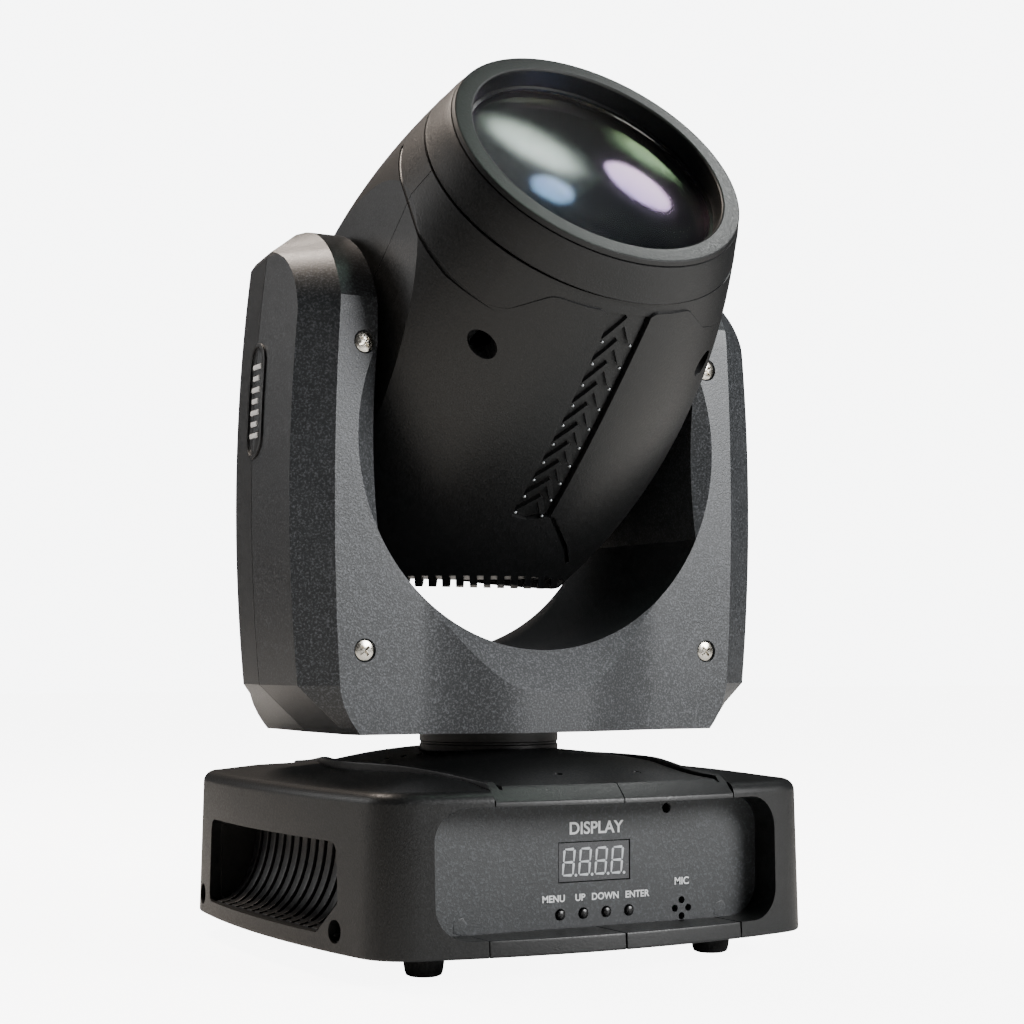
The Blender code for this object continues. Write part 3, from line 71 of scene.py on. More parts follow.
def add(tree, kind, inputs=None, **settings):
    """Add one shader node. Each input is a value or the socket that feeds it."""
    made = tree.nodes.new(kind)
    for name, value in settings.items():
        setattr(made, name, value)
    for socket, value in (inputs or {}).items():
        if isinstance(value, bpy.types.NodeSocket):
            tree.links.new(value, made.inputs[socket])
        else:
            made.inputs[socket].default_value = value
    return made


def surface(name, colour, worn, grain_mm, relief_mm, roughness, fleck=None, fleck_share=0.5,
            grain_spread=0.08, **sockets):
    """A finish with cloudy patches of a second colour, a fine grain and optional flecks."""
    made = bpy.data.materials.new(name)
    made.use_nodes = True
    tree = made.node_tree
    shader = tree.nodes["Principled BSDF"]
    place = add(tree, "ShaderNodeTexCoord").outputs["Object"]
    patches = add(tree, "ShaderNodeTexNoise", {"Vector": place, "Scale": 1 / (35 * MM),
                                               "Detail": 3.0, "Roughness": 0.6})
    grain = add(tree, "ShaderNodeTexNoise", {"Vector": place, "Scale": 1 / (grain_mm * MM),
                                             "Detail": 2.0, "Roughness": 0.65})
    cloud = add(tree, "ShaderNodeMapRange", {"Value": patches.outputs["Fac"], "From Min": 0.35,
                                             "From Max": 0.7, "To Min": 0.0, "To Max": 1.0})
    mixed = add(tree, "ShaderNodeMix", {"Factor": cloud.outputs["Result"], "A": linear(colour),
                                        "B": linear(worn)}, data_type="RGBA")
    tint = mixed.outputs["Result"]
    if fleck:
        spots = add(tree, "ShaderNodeMapRange", {
            "Value": grain.outputs["Fac"], "From Min": 1 - fleck_share - 0.08,
            "From Max": 1 - fleck_share + 0.14, "To Min": 0.0, "To Max": 1.0})
        tint = add(tree, "ShaderNodeMix", {"Factor": spots.outputs["Result"], "A": tint,
                                           "B": linear(fleck)}, data_type="RGBA").outputs["Result"]
    tree.links.new(tint, shader.inputs["Base Color"])
    gloss = add(tree, "ShaderNodeMapRange", {"Value": grain.outputs["Fac"], "From Min": 0.3,
                                             "From Max": 0.7, "To Min": roughness - grain_spread,
                                             "To Max": roughness + grain_spread})
    tree.links.new(gloss.outputs["Result"], shader.inputs["Roughness"])
    bump = add(tree, "ShaderNodeBump", {"Strength": 0.6, "Distance": relief_mm * MM,
                                        "Height": grain.outputs["Fac"]})
    tree.links.new(bump.outputs["Normal"], shader.inputs["Normal"])
    for socket, value in sockets.items():
        shader.inputs[socket.replace("_", " ")].default_value = value
    return made


# %% [markdown]
# The housings are ABS with a spark-eroded texture: near black, satin, with a grain of a few
# tenths of a millimetre. That grain is finer than one can see at arm's length, so it is drawn
# about twice as coarse. The fork's covers carry a graphite paint with pale metal flecks, which
# is why their flat faces look sandy and silver-grey where the light falls on them.

# %% Plastics and paint
abs_textured = surface("abs_textured_black", "#0c0d0e", "#101112", 0.8, 0.12, 0.42,
                       fleck="#1b1c1e", fleck_share=0.40)
abs_lining = surface("abs_matt_lining", "#0b0b0c", "#101011", 0.7, 0.05, 0.62)
fork_paint = surface("graphite_fleck_paint", "#2a2c2e", "#313335", 0.75, 0.12, 0.40,
                     fleck="#54565a", fleck_share=0.44, Metallic=0.25)
powder_coat = surface("powder_coat_speckled", "#2b2d2f", "#323436", 0.9, 0.16, 0.50,
                      fleck="#4a4d50", fleck_share=0.42)
print_ink = surface("white_screen_ink", "#e9eaeb", "#dcdddf", 0.5, 0.02, 0.55)
button_plastic = surface("black_button_plastic", "#0d0d0e", "#141415", 0.4, 0.02, 0.30)
rubber_black = surface("moulded_rubber", "#131313", "#1b1b1b", 0.6, 0.08, 0.75)
print("plastics and paint:", abs_textured.name, fork_paint.name, powder_coat.name)

# %% [markdown]
# Metals keep the default index of refraction. Nickel plate is warm and bright, zinc plate is
# cooler and slightly mottled, and cast aluminium has a coarse, soft sheen from its mould.

# %% Metals, glass and boards
FILM_NM = 377.0
FIELD_FILM_NM = 120.0
nickel = surface("nickel_plate", "#cfcac0", "#b9b4aa", 0.6, 0.01, 0.22, Metallic=1.0)
zinc_plate = surface("zinc_plated_steel", "#a9adb0", "#8f9498", 1.5, 0.02, 0.36, Metallic=1.0)
cast_alloy = surface("cast_aluminium", "#9c9ea1", "#85878a", 0.9, 0.06, 0.45, Metallic=1.0)
enamel = surface("black_enamel", "#08090a", "#0c0d0e", 0.9, 0.02, 0.36)
solder_mask = surface("green_solder_mask", "#0d3a22", "#124a2c", 1.2, 0.02, 0.35)
display_face = surface("smoked_display_face", "#3a3b3e", "#424346", 1.0, 0.01, 0.22)
segment_white = surface("display_segment", "#c9ccd0", "#bfc2c6", 0.6, 0.01, 0.35)
lens_glass = surface("coated_optical_glass", "#f3f6f8", "#eef2f5", 8.0, 0.0, 0.09,
                     grain_spread=0.01, Transmission_Weight=1.0, IOR=1.52,
                     Thin_Film_Thickness=FILM_NM, Thin_Film_IOR=1.38)
field_coat = surface("field_lens_coating", "#050607", "#07080a", 12.0, 0.0, 0.14, grain_spread=0.01,
                     IOR=1.6, Thin_Film_Thickness=FIELD_FILM_NM, Thin_Film_IOR=2.3)
print("lens coatings of", FILM_NM, "and", FIELD_FILM_NM, "nm")


# %% [markdown]
# Shapes are worked in plain millimetres. A turned part is a profile spun round an axis, a cut is
# a Boolean with a second shape, and the edges of the fork and the base are rounded at the end,
# because a real mould has no sharp corners and it is the soft edge that catches the light.

# %% Modelling helpers
def move(bm, by):
    bmesh.ops.translate(bm, vec=Vector(by), verts=bm.verts)
    return bm


def block(size, at):
    bm = bmesh.new()
    bmesh.ops.create_cube(bm, size=1.0)
    bmesh.ops.scale(bm, vec=Vector(size), verts=bm.verts)
    return move(bm, at)


def along(bm, axis, at):
    """Turn a shape built along Z onto another axis, and move it into place."""
    turns = {"X": Matrix.Rotation(math.pi / 2, 4, "Y"), "Y": Matrix.Rotation(-math.pi / 2, 4, "X")}
    bm.transform(Matrix.Translation(Vector(at)) @ turns.get(axis, Matrix.Identity(4)))
    return bm


def facing(bm, x, y, z):
    """Stand up a shape that was drawn lying on its back, facing the front, at its place."""
    bm.transform(Matrix.Translation((x, y, z)) @ Matrix.Rotation(math.pi / 2, 4, "X"))
    return bm


def points_of(items):
    return [item for item in items if isinstance(item, bmesh.types.BMVert)]


def bridged(bm, loops):
    """Bridge a pile of closed loops into one solid, with its two ends filled."""
    for lower, upper in zip(loops, loops[1:]):
        bmesh.ops.bridge_loops(bm, edges=lower + upper)
    for end in (loops[0], loops[-1]):
        bmesh.ops.contextual_create(bm, geom=end)
    bmesh.ops.recalc_face_normals(bm, faces=bm.faces)
    return bm


def drum(radius, length, at, axis="Z", segments=48, end_radius=None):
    bm = bmesh.new()
    bmesh.ops.create_cone(bm, cap_ends=True, segments=segments, depth=length, radius1=radius,
                          radius2=radius if end_radius is None else end_radius)
    return along(bm, axis, at)


def turning(profile, segments=96, closed=False):
    """Spin (radius, height) points round the Z axis."""
    bm = bmesh.new()
    line = [bm.verts.new((radius, 0.0, height)) for radius, height in profile]
    edges = [bm.edges.new(pair) for pair in zip(line, line[1:])]
    if closed:
        edges.append(bm.edges.new((line[-1], line[0])))
    bmesh.ops.spin(bm, geom=line + edges, axis=(0, 0, 1), cent=(0, 0, 0), angle=2 * math.pi,
                   steps=segments, use_merge=True)
    bmesh.ops.remove_doubles(bm, verts=bm.verts, dist=0.001)
    bmesh.ops.recalc_face_normals(bm, faces=bm.faces)
    return bm


def prism(outline, depth, centre=0.0, axis="Z"):
    """Extrude a flat outline by depth. On X it is drawn in (y, z), on Y in (x, z)."""
    lay = {"X": lambda u, v, w: (w, u, v), "Y": lambda u, v, w: (u, w, v),
           "Z": lambda u, v, w: (u, v, w)}[axis]
    bm = bmesh.new()
    face = bm.faces.new([bm.verts.new(lay(u, v, centre - depth / 2)) for u, v in outline])
    grown = bmesh.ops.extrude_face_region(bm, geom=[face])["geom"]
    bmesh.ops.translate(bm, vec=Vector(lay(0, 0, depth)), verts=points_of(grown))
    bmesh.ops.recalc_face_normals(bm, faces=bm.faces)
    return bm


def stack(sections):
    """Make one solid of a pile of closed sections, each a list of points."""
    bm = bmesh.new()
    loops = []
    for section in sections:
        ring = [bm.verts.new(point) for point in section]
        loops.append([bm.edges.new((a, b)) for a, b in zip(ring, ring[1:] + ring[:1])])
    return bridged(bm, loops)


def into_scene(name, data):
    """Make an object of a mesh, letters, a lamp or a camera, and put it in the scene."""
    made = bpy.data.objects.new(name, data)
    bpy.context.scene.collection.objects.link(made)
    return made


def as_mesh(shape, name="work"):
    """Turn a shape into mesh data, and use it up."""
    mesh = bpy.data.meshes.new(name)
    shape.to_mesh(mesh)
    shape.free()
    return mesh


def carve(solid, cutter, operation="DIFFERENCE"):
    """Boolean one closed shape with another, use both up, and return the result."""
    pair = [into_scene("work", as_mesh(shape)) for shape in (solid, cutter)]
    step = pair[0].modifiers.new("carve", "BOOLEAN")
    step.operation, step.object, step.solver = operation, pair[1], "EXACT"
    graph = bpy.context.evaluated_depsgraph_get()
    mesh = bpy.data.meshes.new_from_object(pair[0].evaluated_get(graph))
    result = bmesh.new()
    result.from_mesh(mesh)
    bpy.data.meshes.remove(mesh)
    for item in pair:
        bpy.data.meshes.remove(item.data)
    return result


def merge(shapes):
    """Put several separate shapes into one bmesh, to cut or to show together."""
    together = bmesh.new()
    for shape in shapes:
        mesh = as_mesh(shape)
        together.from_mesh(mesh)
        bpy.data.meshes.remove(mesh)
    return together


def soften(bm, width, angle=28, segments=2, keep=None):
    """Round every edge that turns by more than angle degrees."""
    sharp = [edge for edge in bm.edges if len(edge.link_faces) == 2
             and edge.calc_face_angle(0) > math.radians(angle) and (keep is None or keep(edge))]
    bmesh.ops.bevel(bm, geom=sharp, offset=width, segments=segments, profile=0.5,
                    affect="EDGES", material=-1, clamp_overlap=True)
    return bm


def trim(bm, point, normal):
    """Cut a shape at a plane, drop what lies beyond it, and close the cut."""
    made = bmesh.ops.bisect_plane(bm, geom=bm.verts[:] + bm.edges[:] + bm.faces[:],
                                  plane_co=point, plane_no=normal, clear_outer=True)
    rim = [item for item in made["geom_cut"] if isinstance(item, bmesh.types.BMEdge)]
    bmesh.ops.holes_fill(bm, edges=rim)
    return bm


def show(bm, name, body, finish, stands_for=(), place=None, smooth=32):
    """Turn a finished shape into a piece of the light, and say what it rides on."""
    bmesh.ops.remove_doubles(bm, verts=bm.verts, dist=0.0005)
    bmesh.ops.recalc_face_normals(bm, faces=bm.faces)
    bm.transform((place or Matrix.Identity(4)) @ Matrix.Scale(MM, 4))
    mesh = as_mesh(bm, name)
    mesh.shade_smooth()
    mesh.set_sharp_from_angle(angle=math.radians(smooth))
    piece = into_scene(name, mesh)
    mesh.materials.append(finish)
    flat = piece.modifiers.new("flat_faces", "WEIGHTED_NORMAL")
    flat.keep_sharp = True
    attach(piece, body)
    if stands_for:
        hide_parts(*stands_for)
    print(f"{name}: {len(mesh.polygons)} faces")
    return piece


HEAD_TILT = 51.1     # degrees that the head leans forward at rest
HEAD_PLACE = (Matrix.Translation((0, 0, TILT_Z * MM))
              @ Matrix.Rotation(math.radians(HEAD_TILT), 4, "X"))


# %% [markdown]
# The head is two moulded shells that meet along its sides. Their form is a barrel, turned round
# the optical axis, then planed flat at both sides and swept round at the rear so that it clears
# the fork.

# %% Head barrel
BARREL = 78.2         # radius where the head is widest
BARREL_CURVE = 264.0  # radius of the long curve of its side
SEAM = 91.5           # where the front ring begins, from the tilt axis
SHOULDER = -62.0
SWEEP = 86.5
FLAT_X = 66.0


def barrel_radius(s):
    return BARREL - s * s / (2 * BARREL_CURVE)


def barrel_solid(inset=0.0, front=SEAM, shift=0.0, segments=144):
    """The turned form, smaller by inset and moved sideways by shift."""
    heights = [front + (SHOULDER - front) * step / 22 for step in range(23)]
    side = [(barrel_radius(s) - inset, s) for s in heights]
    rear_depth = SHOULDER + SWEEP - inset
    dome = [(side[-1][0] * math.cos(math.radians(turn)) ** 0.6,
             SHOULDER - rear_depth * math.sin(math.radians(turn)))
            for turn in (6, 12, 18, 26, 34, 42, 50, 58, 66, 74, 82)]
    solid = turning([(0, front)] + side + dome + [(0, inset - SWEEP)], segments)
    if shift:
        move(solid, (shift, 0, 0))
    return solid


def head_solid(inset=0.0, front=SEAM):
    """The barrel, planed flat at both sides and swept round at the rear."""
    solid = barrel_solid(inset, front)
    for side in (-1, 1):
        trim(solid, (side * (FLAT_X - inset), 0, 0), (side, 0, 0))
    swept = bmesh.new()
    bmesh.ops.create_circle(swept, cap_ends=True, segments=160, radius=SWEEP - inset)
    swept.transform(Matrix.Rotation(math.pi / 2, 4, "Y"))
    for point in swept.verts:
        if point.co.z > 0.001:
            point.co.z += 130.0
    grown = bmesh.ops.extrude_face_region(swept, geom=swept.faces[:])["geom"]
    bmesh.ops.translate(swept, vec=(200, 0, 0), verts=points_of(grown))
    return carve(solid, move(swept, (-100, 0, 0)), "INTERSECT")


print("barrel radius at the seam:", round(barrel_radius(SEAM), 1), "mm")

# %% [markdown]
# On the lower shell two broad panels stand proud of a shallow band under the front ring, and a
# channel with chevrons runs down between them. The band is cut with the barrel itself, slightly
# smaller and moved to one side, so that its step fades out towards the left and the right.

# %% Lower shell details
BAND_DEPTH = 1.5
BAND_SHIFT = 2.1
CHANNEL_DEPTH = 2.0


def skin_cut(outline, depth, shift=0.0):
    """A tool that sinks the underside by depth inside an outline drawn in (x, s)."""
    cutter = prism(outline, 90.0, centre=-80.0, axis="Y")
    return carve(cutter, barrel_solid(depth, SEAM + 6, shift, 96))


def arc_points(centre, radius, start, end, steps=6):
    turns = [math.radians(start + (end - start) * step / steps) for step in range(steps + 1)]
    return [(centre[0] + radius * math.cos(turn), centre[1] + radius * math.sin(turn))
            for turn in turns]


def channel_left(s):
    return -15.9 + 5.2 * (s / 84.0) ** 1.6 if s > 0 else -15.9


def channel_right(s):
    return -0.9 + 5.8 * (max(s, 0.0) / 84.0) ** 2.2


left_band = ([(-3.0, SEAM + 3), (-60.0, SEAM + 3), (-60.0, 68.0), (-43.0, 75.6), (-36.5, 81.8)]
             + arc_points((-27.5, 78.8), 8.2, 128, 92, 4) + arc_points((-14.6, 83.6), 3.9, 84, 8, 5)
             + [(-10.4, 80.0), (-3.0, 80.0)])
right_band = ([(-3.0, 80.0), (4.4, 80.0)] + arc_points((9.2, 84.6), 4.2, 170, 96, 5)
              + arc_points((21.0, 81.5), 7.3, 84, 48, 4) + [(30.5, 83.4), (36.0, 79.0),
              (60.0, 70.0), (60.0, SEAM + 3), (-3.0, SEAM + 3)])
run = [87.0 - 3.5 * step for step in range(26)]
channel = ([(channel_left(s), s) for s in run] + [(-15.4, -3.0), (-9.0, -3.5)]
           + [(channel_right(s), s) for s in reversed(run)])
EDGE_GROOVE = 1.1
groove_line = ([(channel_right(s) - EDGE_GROOVE / 2, s) for s in run]
               + [(0.6, -2.0), (7.6, -10.5), (16.0, -21.0), (24.4, -33.6)]
               + [(25.8, -33.0), (17.4, -20.0), (9.0, -9.6), (2.0, -1.2)]
               + [(channel_right(s) + EDGE_GROOVE / 2, s) for s in reversed(run)])

# %% [markdown]
# A deeper groove runs down each side just behind the ring, from above the seam to where it
# dies away beside the screw recess. The rear is cut into thin ribs that let the fan's air out:
# straight ones at the top, and slanted ones underneath that show as a row of short teeth.

# %% Cut the shells
GROOVE_WIDTH = 1.7


def side_groove(side):
    """A round groove along the surface, which drifts rearwards and gets shallow at its end."""
    bm = bmesh.new()
    rings = []
    for step in range(45):
        share = step / 44
        turn = math.radians(-118 + 76 * share)
        s = 78.2 - 5.4 * min(max((share - 0.25) / 0.5, 0.0), 1.0)
        size = GROOVE_WIDTH / 2 * (1.0 if share < 0.72 else 1.0 - 0.85 * (share - 0.72) / 0.28)
        radius = min(barrel_radius(s), FLAT_X / max(abs(math.sin(turn)), 0.01)) + 0.1
        across = Vector((side * -math.sin(turn), -math.cos(turn), 0))
        centre = across * radius + Vector((0, 0, s))
        ring = bmesh.ops.create_circle(bm, segments=12, radius=size)["verts"]
        frame_of = Matrix((across, Vector((0, 0, 1)), across.cross(Vector((0, 0, 1))))).transposed()
        for vert in ring:
            vert.co = centre + frame_of @ vert.co
        rings.append(ring)
    return bridged(bm, [list({edge for vert in ring for edge in vert.link_edges})
                        for ring in rings])


RIB_PITCH = 5.4
RIB_GAP = 2.6
RIB_CUTS = 13
SHELL_WALL = 5.0
UNDERSIDE = Vector((0, -0.778, -0.628))     # the way that the slanted ribs face
RIB_SLANT = 29                              # degrees from straight along the head
SHAFT_HOLE = 8.3
RECESS = (47.0, 60.0, 4.5)                  # x, s and radius of the two screw recesses
shell = head_solid()
shell = carve(shell, skin_cut(left_band, BAND_DEPTH, -BAND_SHIFT))
shell = carve(shell, skin_cut(right_band, BAND_DEPTH, BAND_SHIFT))
shell = carve(shell, skin_cut(channel, CHANNEL_DEPTH))
shell = carve(shell, skin_cut(groove_line, CHANNEL_DEPTH + 1.0))
for side in (-1, 1):
    shell = carve(shell, side_groove(side))
shell = carve(shell, head_solid(SHELL_WALL, SEAM + 3))
ribs = [block((RIB_GAP, 58.0, 46.0), (RIB_PITCH * (index - 6), 54.0, -72.5))
        for index in range(RIB_CUTS)]
across = Matrix.Rotation(math.radians(RIB_SLANT), 3, UNDERSIDE) @ Vector((1, 0, 0))
lengthwise = UNDERSIDE.cross(across)
for index in range(RIB_CUTS):
    rib = block((RIB_GAP, 44.0, 8.0), (0, 0, 0))
    rib.transform(Matrix.Translation(UNDERSIDE * SWEEP + across * RIB_PITCH * (index - 6.6))
                  @ Matrix((across, lengthwise, UNDERSIDE)).transposed().to_4x4())
    ribs.append(rib)
shell = carve(shell, merge(ribs))
shell = carve(shell, drum(SHAFT_HOLE, 200, (0, 0, 0), "X"))
shell = carve(shell, merge([drum(RECESS[2], 30.0, (side * RECESS[0], -62.0, RECESS[1]), "Y")
                            for side in (-1, 1)]))
for half_name, half_side in (("head_upper_shell", 1), ("head_lower_shell", -1)):
    half = shell.copy()
    trim(half, (0, half_side * 0.15, 0), (0, -half_side, 0))
    show(half, half_name + "_skin", "head", abs_textured, (half_name,), HEAD_PLACE, 11)
shell.free()

# %% [markdown]
# Ten chevrons point forward along the channel. Each is a pair of thin bars that meet in a tip,
# with a small bright stud at the end of each bar. They are cut from the barrel's own surface, so
# that they follow its curve.

# %% Chevrons and studs
CHEVRONS = 10
CHEVRON_PITCH = 8.6
BAR = 2.0
left_bars, right_bars, studs = [], [], []
for index in range(CHEVRONS):
    foot_s = 77.6 - CHEVRON_PITCH * index
    left_x, right_x = channel_left(foot_s) + 0.7, channel_right(foot_s) - 3.0
    tip_x, tip_s = left_x + (right_x - left_x) * 0.60, foot_s + 9.0
    left_bar = [(left_x, foot_s), (left_x + BAR, foot_s), (tip_x + BAR * 0.6, tip_s - 1.6),
                (tip_x, tip_s), (tip_x - BAR * 0.6, tip_s - 1.6)]
    right_bar = [(right_x - BAR / 2, foot_s), (right_x + BAR / 2, foot_s),
                 (tip_x + BAR * 0.7, tip_s - 1.2), (tip_x, tip_s),
                 (tip_x - BAR * 0.4, tip_s - 2.0)]
    left_bars.append(prism(left_bar, 30.0, centre=-72.0, axis="Y"))
    right_bars.append(prism(right_bar, 30.0, centre=-72.0, axis="Y"))
    studs += [(left_x + 0.3, foot_s - 0.9), (right_x, foot_s - 0.9)]
chevrons = carve(merge(left_bars), merge(right_bars), "UNION")
chevrons = carve(chevrons, barrel_solid(0.35, SEAM + 6, 0, 96), "INTERSECT")
chevrons = carve(chevrons, barrel_solid(CHANNEL_DEPTH - 0.02, SEAM + 6, 0, 96))
show(chevrons, "chevron_bars", "head", abs_textured, (), HEAD_PLACE)
dots = []
for x, s in studs:
    depth = math.sqrt(barrel_radius(s) ** 2 - x * x)
    dot = bmesh.new()
    bmesh.ops.create_uvsphere(dot, u_segments=12, v_segments=8, radius=0.62)
    dots.append(move(dot, (x, -depth + 0.25, s)))
show(merge(dots), "chevron_studs", "head", zinc_plate, (), HEAD_PLACE)

# %% [markdown]
# The front ring is turned: a conical outside, a fine parting line just behind the rim, a flat
# rim with rounded edges, and a smooth dark bore that steps in to hold the lens.

# %% Front ring
RIM_FRONT = 107.4
RIM_RADIUS = 56.8
RIM_BORE = 49.5
LENS_SEAT = 50.8
LENS_EDGE = 98.0
ring_rear = SEAM + 0.5
ring_radius = barrel_radius(ring_rear)
ring = turning([
    (RIM_BORE, RIM_FRONT - 0.8), (RIM_BORE + 0.25, RIM_FRONT - 0.25), (RIM_BORE + 0.8, RIM_FRONT),
    (RIM_RADIUS - 1.0, RIM_FRONT), (RIM_RADIUS - 0.3, RIM_FRONT - 0.3),
    (RIM_RADIUS, RIM_FRONT - 1.0), (RIM_RADIUS + 0.28, RIM_FRONT - 1.75),
    (RIM_RADIUS - 0.25, RIM_FRONT - 1.9), (RIM_RADIUS - 0.25, RIM_FRONT - 2.25),
    (RIM_RADIUS + 0.45, RIM_FRONT - 2.4), (RIM_RADIUS + 1.9, RIM_FRONT - 5.5),
    (ring_radius - 0.9, ring_rear + 2.4), (ring_radius - 0.1, ring_rear + 0.5),
    (ring_radius - 0.5, ring_rear), (LENS_SEAT, ring_rear),
    (LENS_SEAT, LENS_EDGE + 0.3), (RIM_BORE - 1.2, LENS_EDGE + 0.3),
    (RIM_BORE - 1.2, LENS_EDGE + 1.5), (RIM_BORE, LENS_EDGE + 1.8)], 160, closed=True)
show(ring, "front_ring", "head", abs_textured, ("lens_bezel",), HEAD_PLACE, 24)

# %% [markdown]
# The objective is one thick plano-convex glass. Behind it lie a matt black cone and a smaller
# field lens in front of the light module, which the big glass magnifies. The purples and blues
# are not paint: they come from thin coatings, so both shaders have a thin film. The green is
# partly the coating and partly the tint of the small lamp that the glass mirrors on the left.

# %% Lenses
LENS_SAG = 7.0
GLASS_STEPS = 18
GLASS_RADIUS = LENS_SEAT - 0.3
cap_radius = (LENS_SEAT ** 2 + LENS_SAG ** 2) / (2 * LENS_SAG)
dome = [(0.0, LENS_EDGE + LENS_SAG)]
for step in range(1, GLASS_STEPS + 1):
    radius = GLASS_RADIUS * step / GLASS_STEPS
    height = LENS_EDGE + LENS_SAG - cap_radius + math.sqrt(cap_radius ** 2 - radius ** 2)
    dome.append((radius, height))
glass = turning(dome + [(GLASS_RADIUS, 91.2), (LENS_SEAT - 1.0, 90.0), (0.0, 90.0)], 128)
show(glass, "objective_glass", "head", lens_glass, ("objective_lens",),
     HEAD_PLACE, 24)
FIELD_RADIUS = 27.0
field = turning([(0.0, 82.0), (8.0, 81.3), (15.0, 79.4), (21.0, 76.4), (25.0, 73.4),
                 (FIELD_RADIUS, 71.0), (FIELD_RADIUS, 68.0), (0.0, 68.0)], 96)
show(field, "field_lens", "head", field_coat, (), HEAD_PLACE, 24)
holder = turning([(FIELD_RADIUS + out, height) for out, height in (
    (0.2, 72.6), (1.0, 73.6), (2.4, 73.4), (4.2, 71.0), (4.2, 67.0), (0.2, 67.0))],
    96, closed=True)
show(holder, "field_lens_ring", "head", nickel, (), HEAD_PLACE, 50)
inner_cone = turning([(46.5, 89.6), (49.8, 89.6), (49.8, 87.6), (33.5, 66.8), (30.5, 66.8),
                      (44.5, 86.0)], 96, closed=True)
show(inner_cone, "lens_cone_lining", "head", abs_lining, ("lens_cone",),
     HEAD_PLACE, 24)


# %% [markdown]
# The fork's covers are two mouldings, front and rear, that meet in a seam at the tilt axis. Each
# arm has a flat sandy face, a broad bevel and a gently crowned outer side. The whole form is a
# pile of plan sections, bridged from the foot to the round tops of the arms.

# %% Fork section
FORK_FOOT = 75.5
FORK_HALF_X = 101.4
FORK_HALF_Y = 43.3
FACE_HALF_X = 87.0
WIDEST_Z = 160.0
CROWN_SPAN = 75.0
CHAMFER = 18.0
BEVEL_BACK = 7.8
ARM_ROUND = 46.0
CRADLE = 77.7
CRADLE_Z = 184.2      # height of the cradle's centre
BULGE = 7.7
FOOT_HALF_X = 79.0    # half width at the very bottom
REAR_Y, REAR_FALL = 27.6, 4.8     # where an arm's outer side turns in, and by how much


def ease(share):
    """Run from 0 to 1 with a soft start and a soft end."""
    share = min(max(share, 0.0), 1.0)
    return share * share * (3 - 2 * share)


def fork_face(z):
    """Outer edge of the flat face."""
    tuck = 7.0 * max((FORK_FOOT + CHAMFER - z) / CHAMFER, 0.0) ** 2
    return FACE_HALF_X - 2.6 * ((z - WIDEST_Z) / CROWN_SPAN) ** 2 - tuck


def fork_outer(z):
    """Outer side of an arm, chamfered towards its foot and drawn in at its top."""
    crown_z = max(z, FORK_FOOT + CHAMFER)
    wide = FORK_HALF_X - 4.0 * ((crown_z - WIDEST_Z) / CROWN_SPAN) ** 2
    if z < crown_z:
        wide = FOOT_HALF_X + (wide - FOOT_HALF_X) * (z - FORK_FOOT) / CHAMFER
    start = TILT_Z + ARM_ROUND - BEVEL_BACK - 1.0
    if z > start:
        wide += (fork_face(z) + 1.0 - wide) * (z - start) / (BEVEL_BACK + 1.0)
    return wide


def arm_depth(z, radius, limit):
    """Half depth of an arm, which is round above the tilt axis."""
    if z <= TILT_Z:
        return limit
    return min(limit, math.sqrt(max(radius ** 2 - (z - TILT_Z) ** 2, 0.6)))


def fork_bulge(x):
    return BULGE * (1 - ease((abs(x) - 10.0) / 44.0))


def fork_section(z):
    """The fork's outline in plan at one height, before the cradle is cut."""
    depth = arm_depth(z, ARM_ROUND, FORK_HALF_Y)
    bevel = min(arm_depth(z, ARM_ROUND - BEVEL_BACK - 1.0, FORK_HALF_Y - BEVEL_BACK), depth - 0.4)
    face, outer = fork_face(z), fork_outer(z)
    rear = min(REAR_Y, depth - 0.3)
    shoulder = max(outer - REAR_FALL * rear / REAR_Y, face + 0.3)
    stand = ease((143.0 - z) / 2.5)
    front = [(x, -depth - stand * fork_bulge(x)) for x in range(3, 57, 3)]
    back = [(x, depth + stand * fork_bulge(x)) for x in range(54, 0, -3)]
    right = front + [(face, -depth), (outer, -bevel), (outer, 0.0), (shoulder, rear),
                     (face, depth)] + back
    return [(x, y, z) for x, y in right + [(-x, y) for x, y in reversed(right)]]


print("arm half width at the tilt axis:", round(fork_outer(TILT_Z), 1), "mm")

# %% [markdown]
# The space between the arms is one cut, straight at the sides and round at the bottom. The
# middle of the fork stands forward, and a cone scoops that bulge out again, which leaves the
# smile-shaped crease under the head. Then every edge that turns enough is rounded.

# %% Cut the fork's covers
INNER_HALF_X = 70.0
SCOOP_SLOPE = 2.08
EDGE = 1.0


def cradle_outline(offset, steps=96):
    radius, half = CRADLE + offset, INNER_HALF_X + offset
    start = math.degrees(math.acos(half / radius))
    turns = [math.radians(180 + start + (180 - 2 * start) * step / steps)
             for step in range(steps + 1)]
    round_part = [(radius * math.cos(turn), CRADLE_Z + radius * math.sin(turn)) for turn in turns]
    return [(half, 320.0), (-half, 320.0)] + round_part


def scoop(side, offset=0.0):
    """A cone round the cradle's axis that takes away part of the bulge."""
    near, far = CRADLE + offset - 4.0 * SCOOP_SLOPE, CRADLE + offset + 9.7 * SCOOP_SLOPE
    radii = (near, far) if side > 0 else (far, near)
    return drum(radii[0], 13.7, (0, side * (FORK_HALF_Y + 2.85), CRADLE_Z), "Y", 192, radii[1])


levels = [FORK_FOOT + rise for rise in (0.0, 1.2, 3, 6, 10, 14, CHAMFER)]
levels += [100, 108, 116, 124, 132, 139, 140.5, 141.5, 142.2, 143.2, 150, 160, 170, 180, 190, 200,
           210, TILT_Z]
levels += [TILT_Z + ARM_ROUND * math.sin(math.radians(turn)) for turn in range(6, 84, 5)]
levels += [TILT_Z + 45.6]
fork = stack([fork_section(z) for z in levels])
fork = carve(fork, prism(cradle_outline(0.0), 140.0, axis="Y"))
fork = carve(fork, merge([scoop(-1), scoop(1)]))


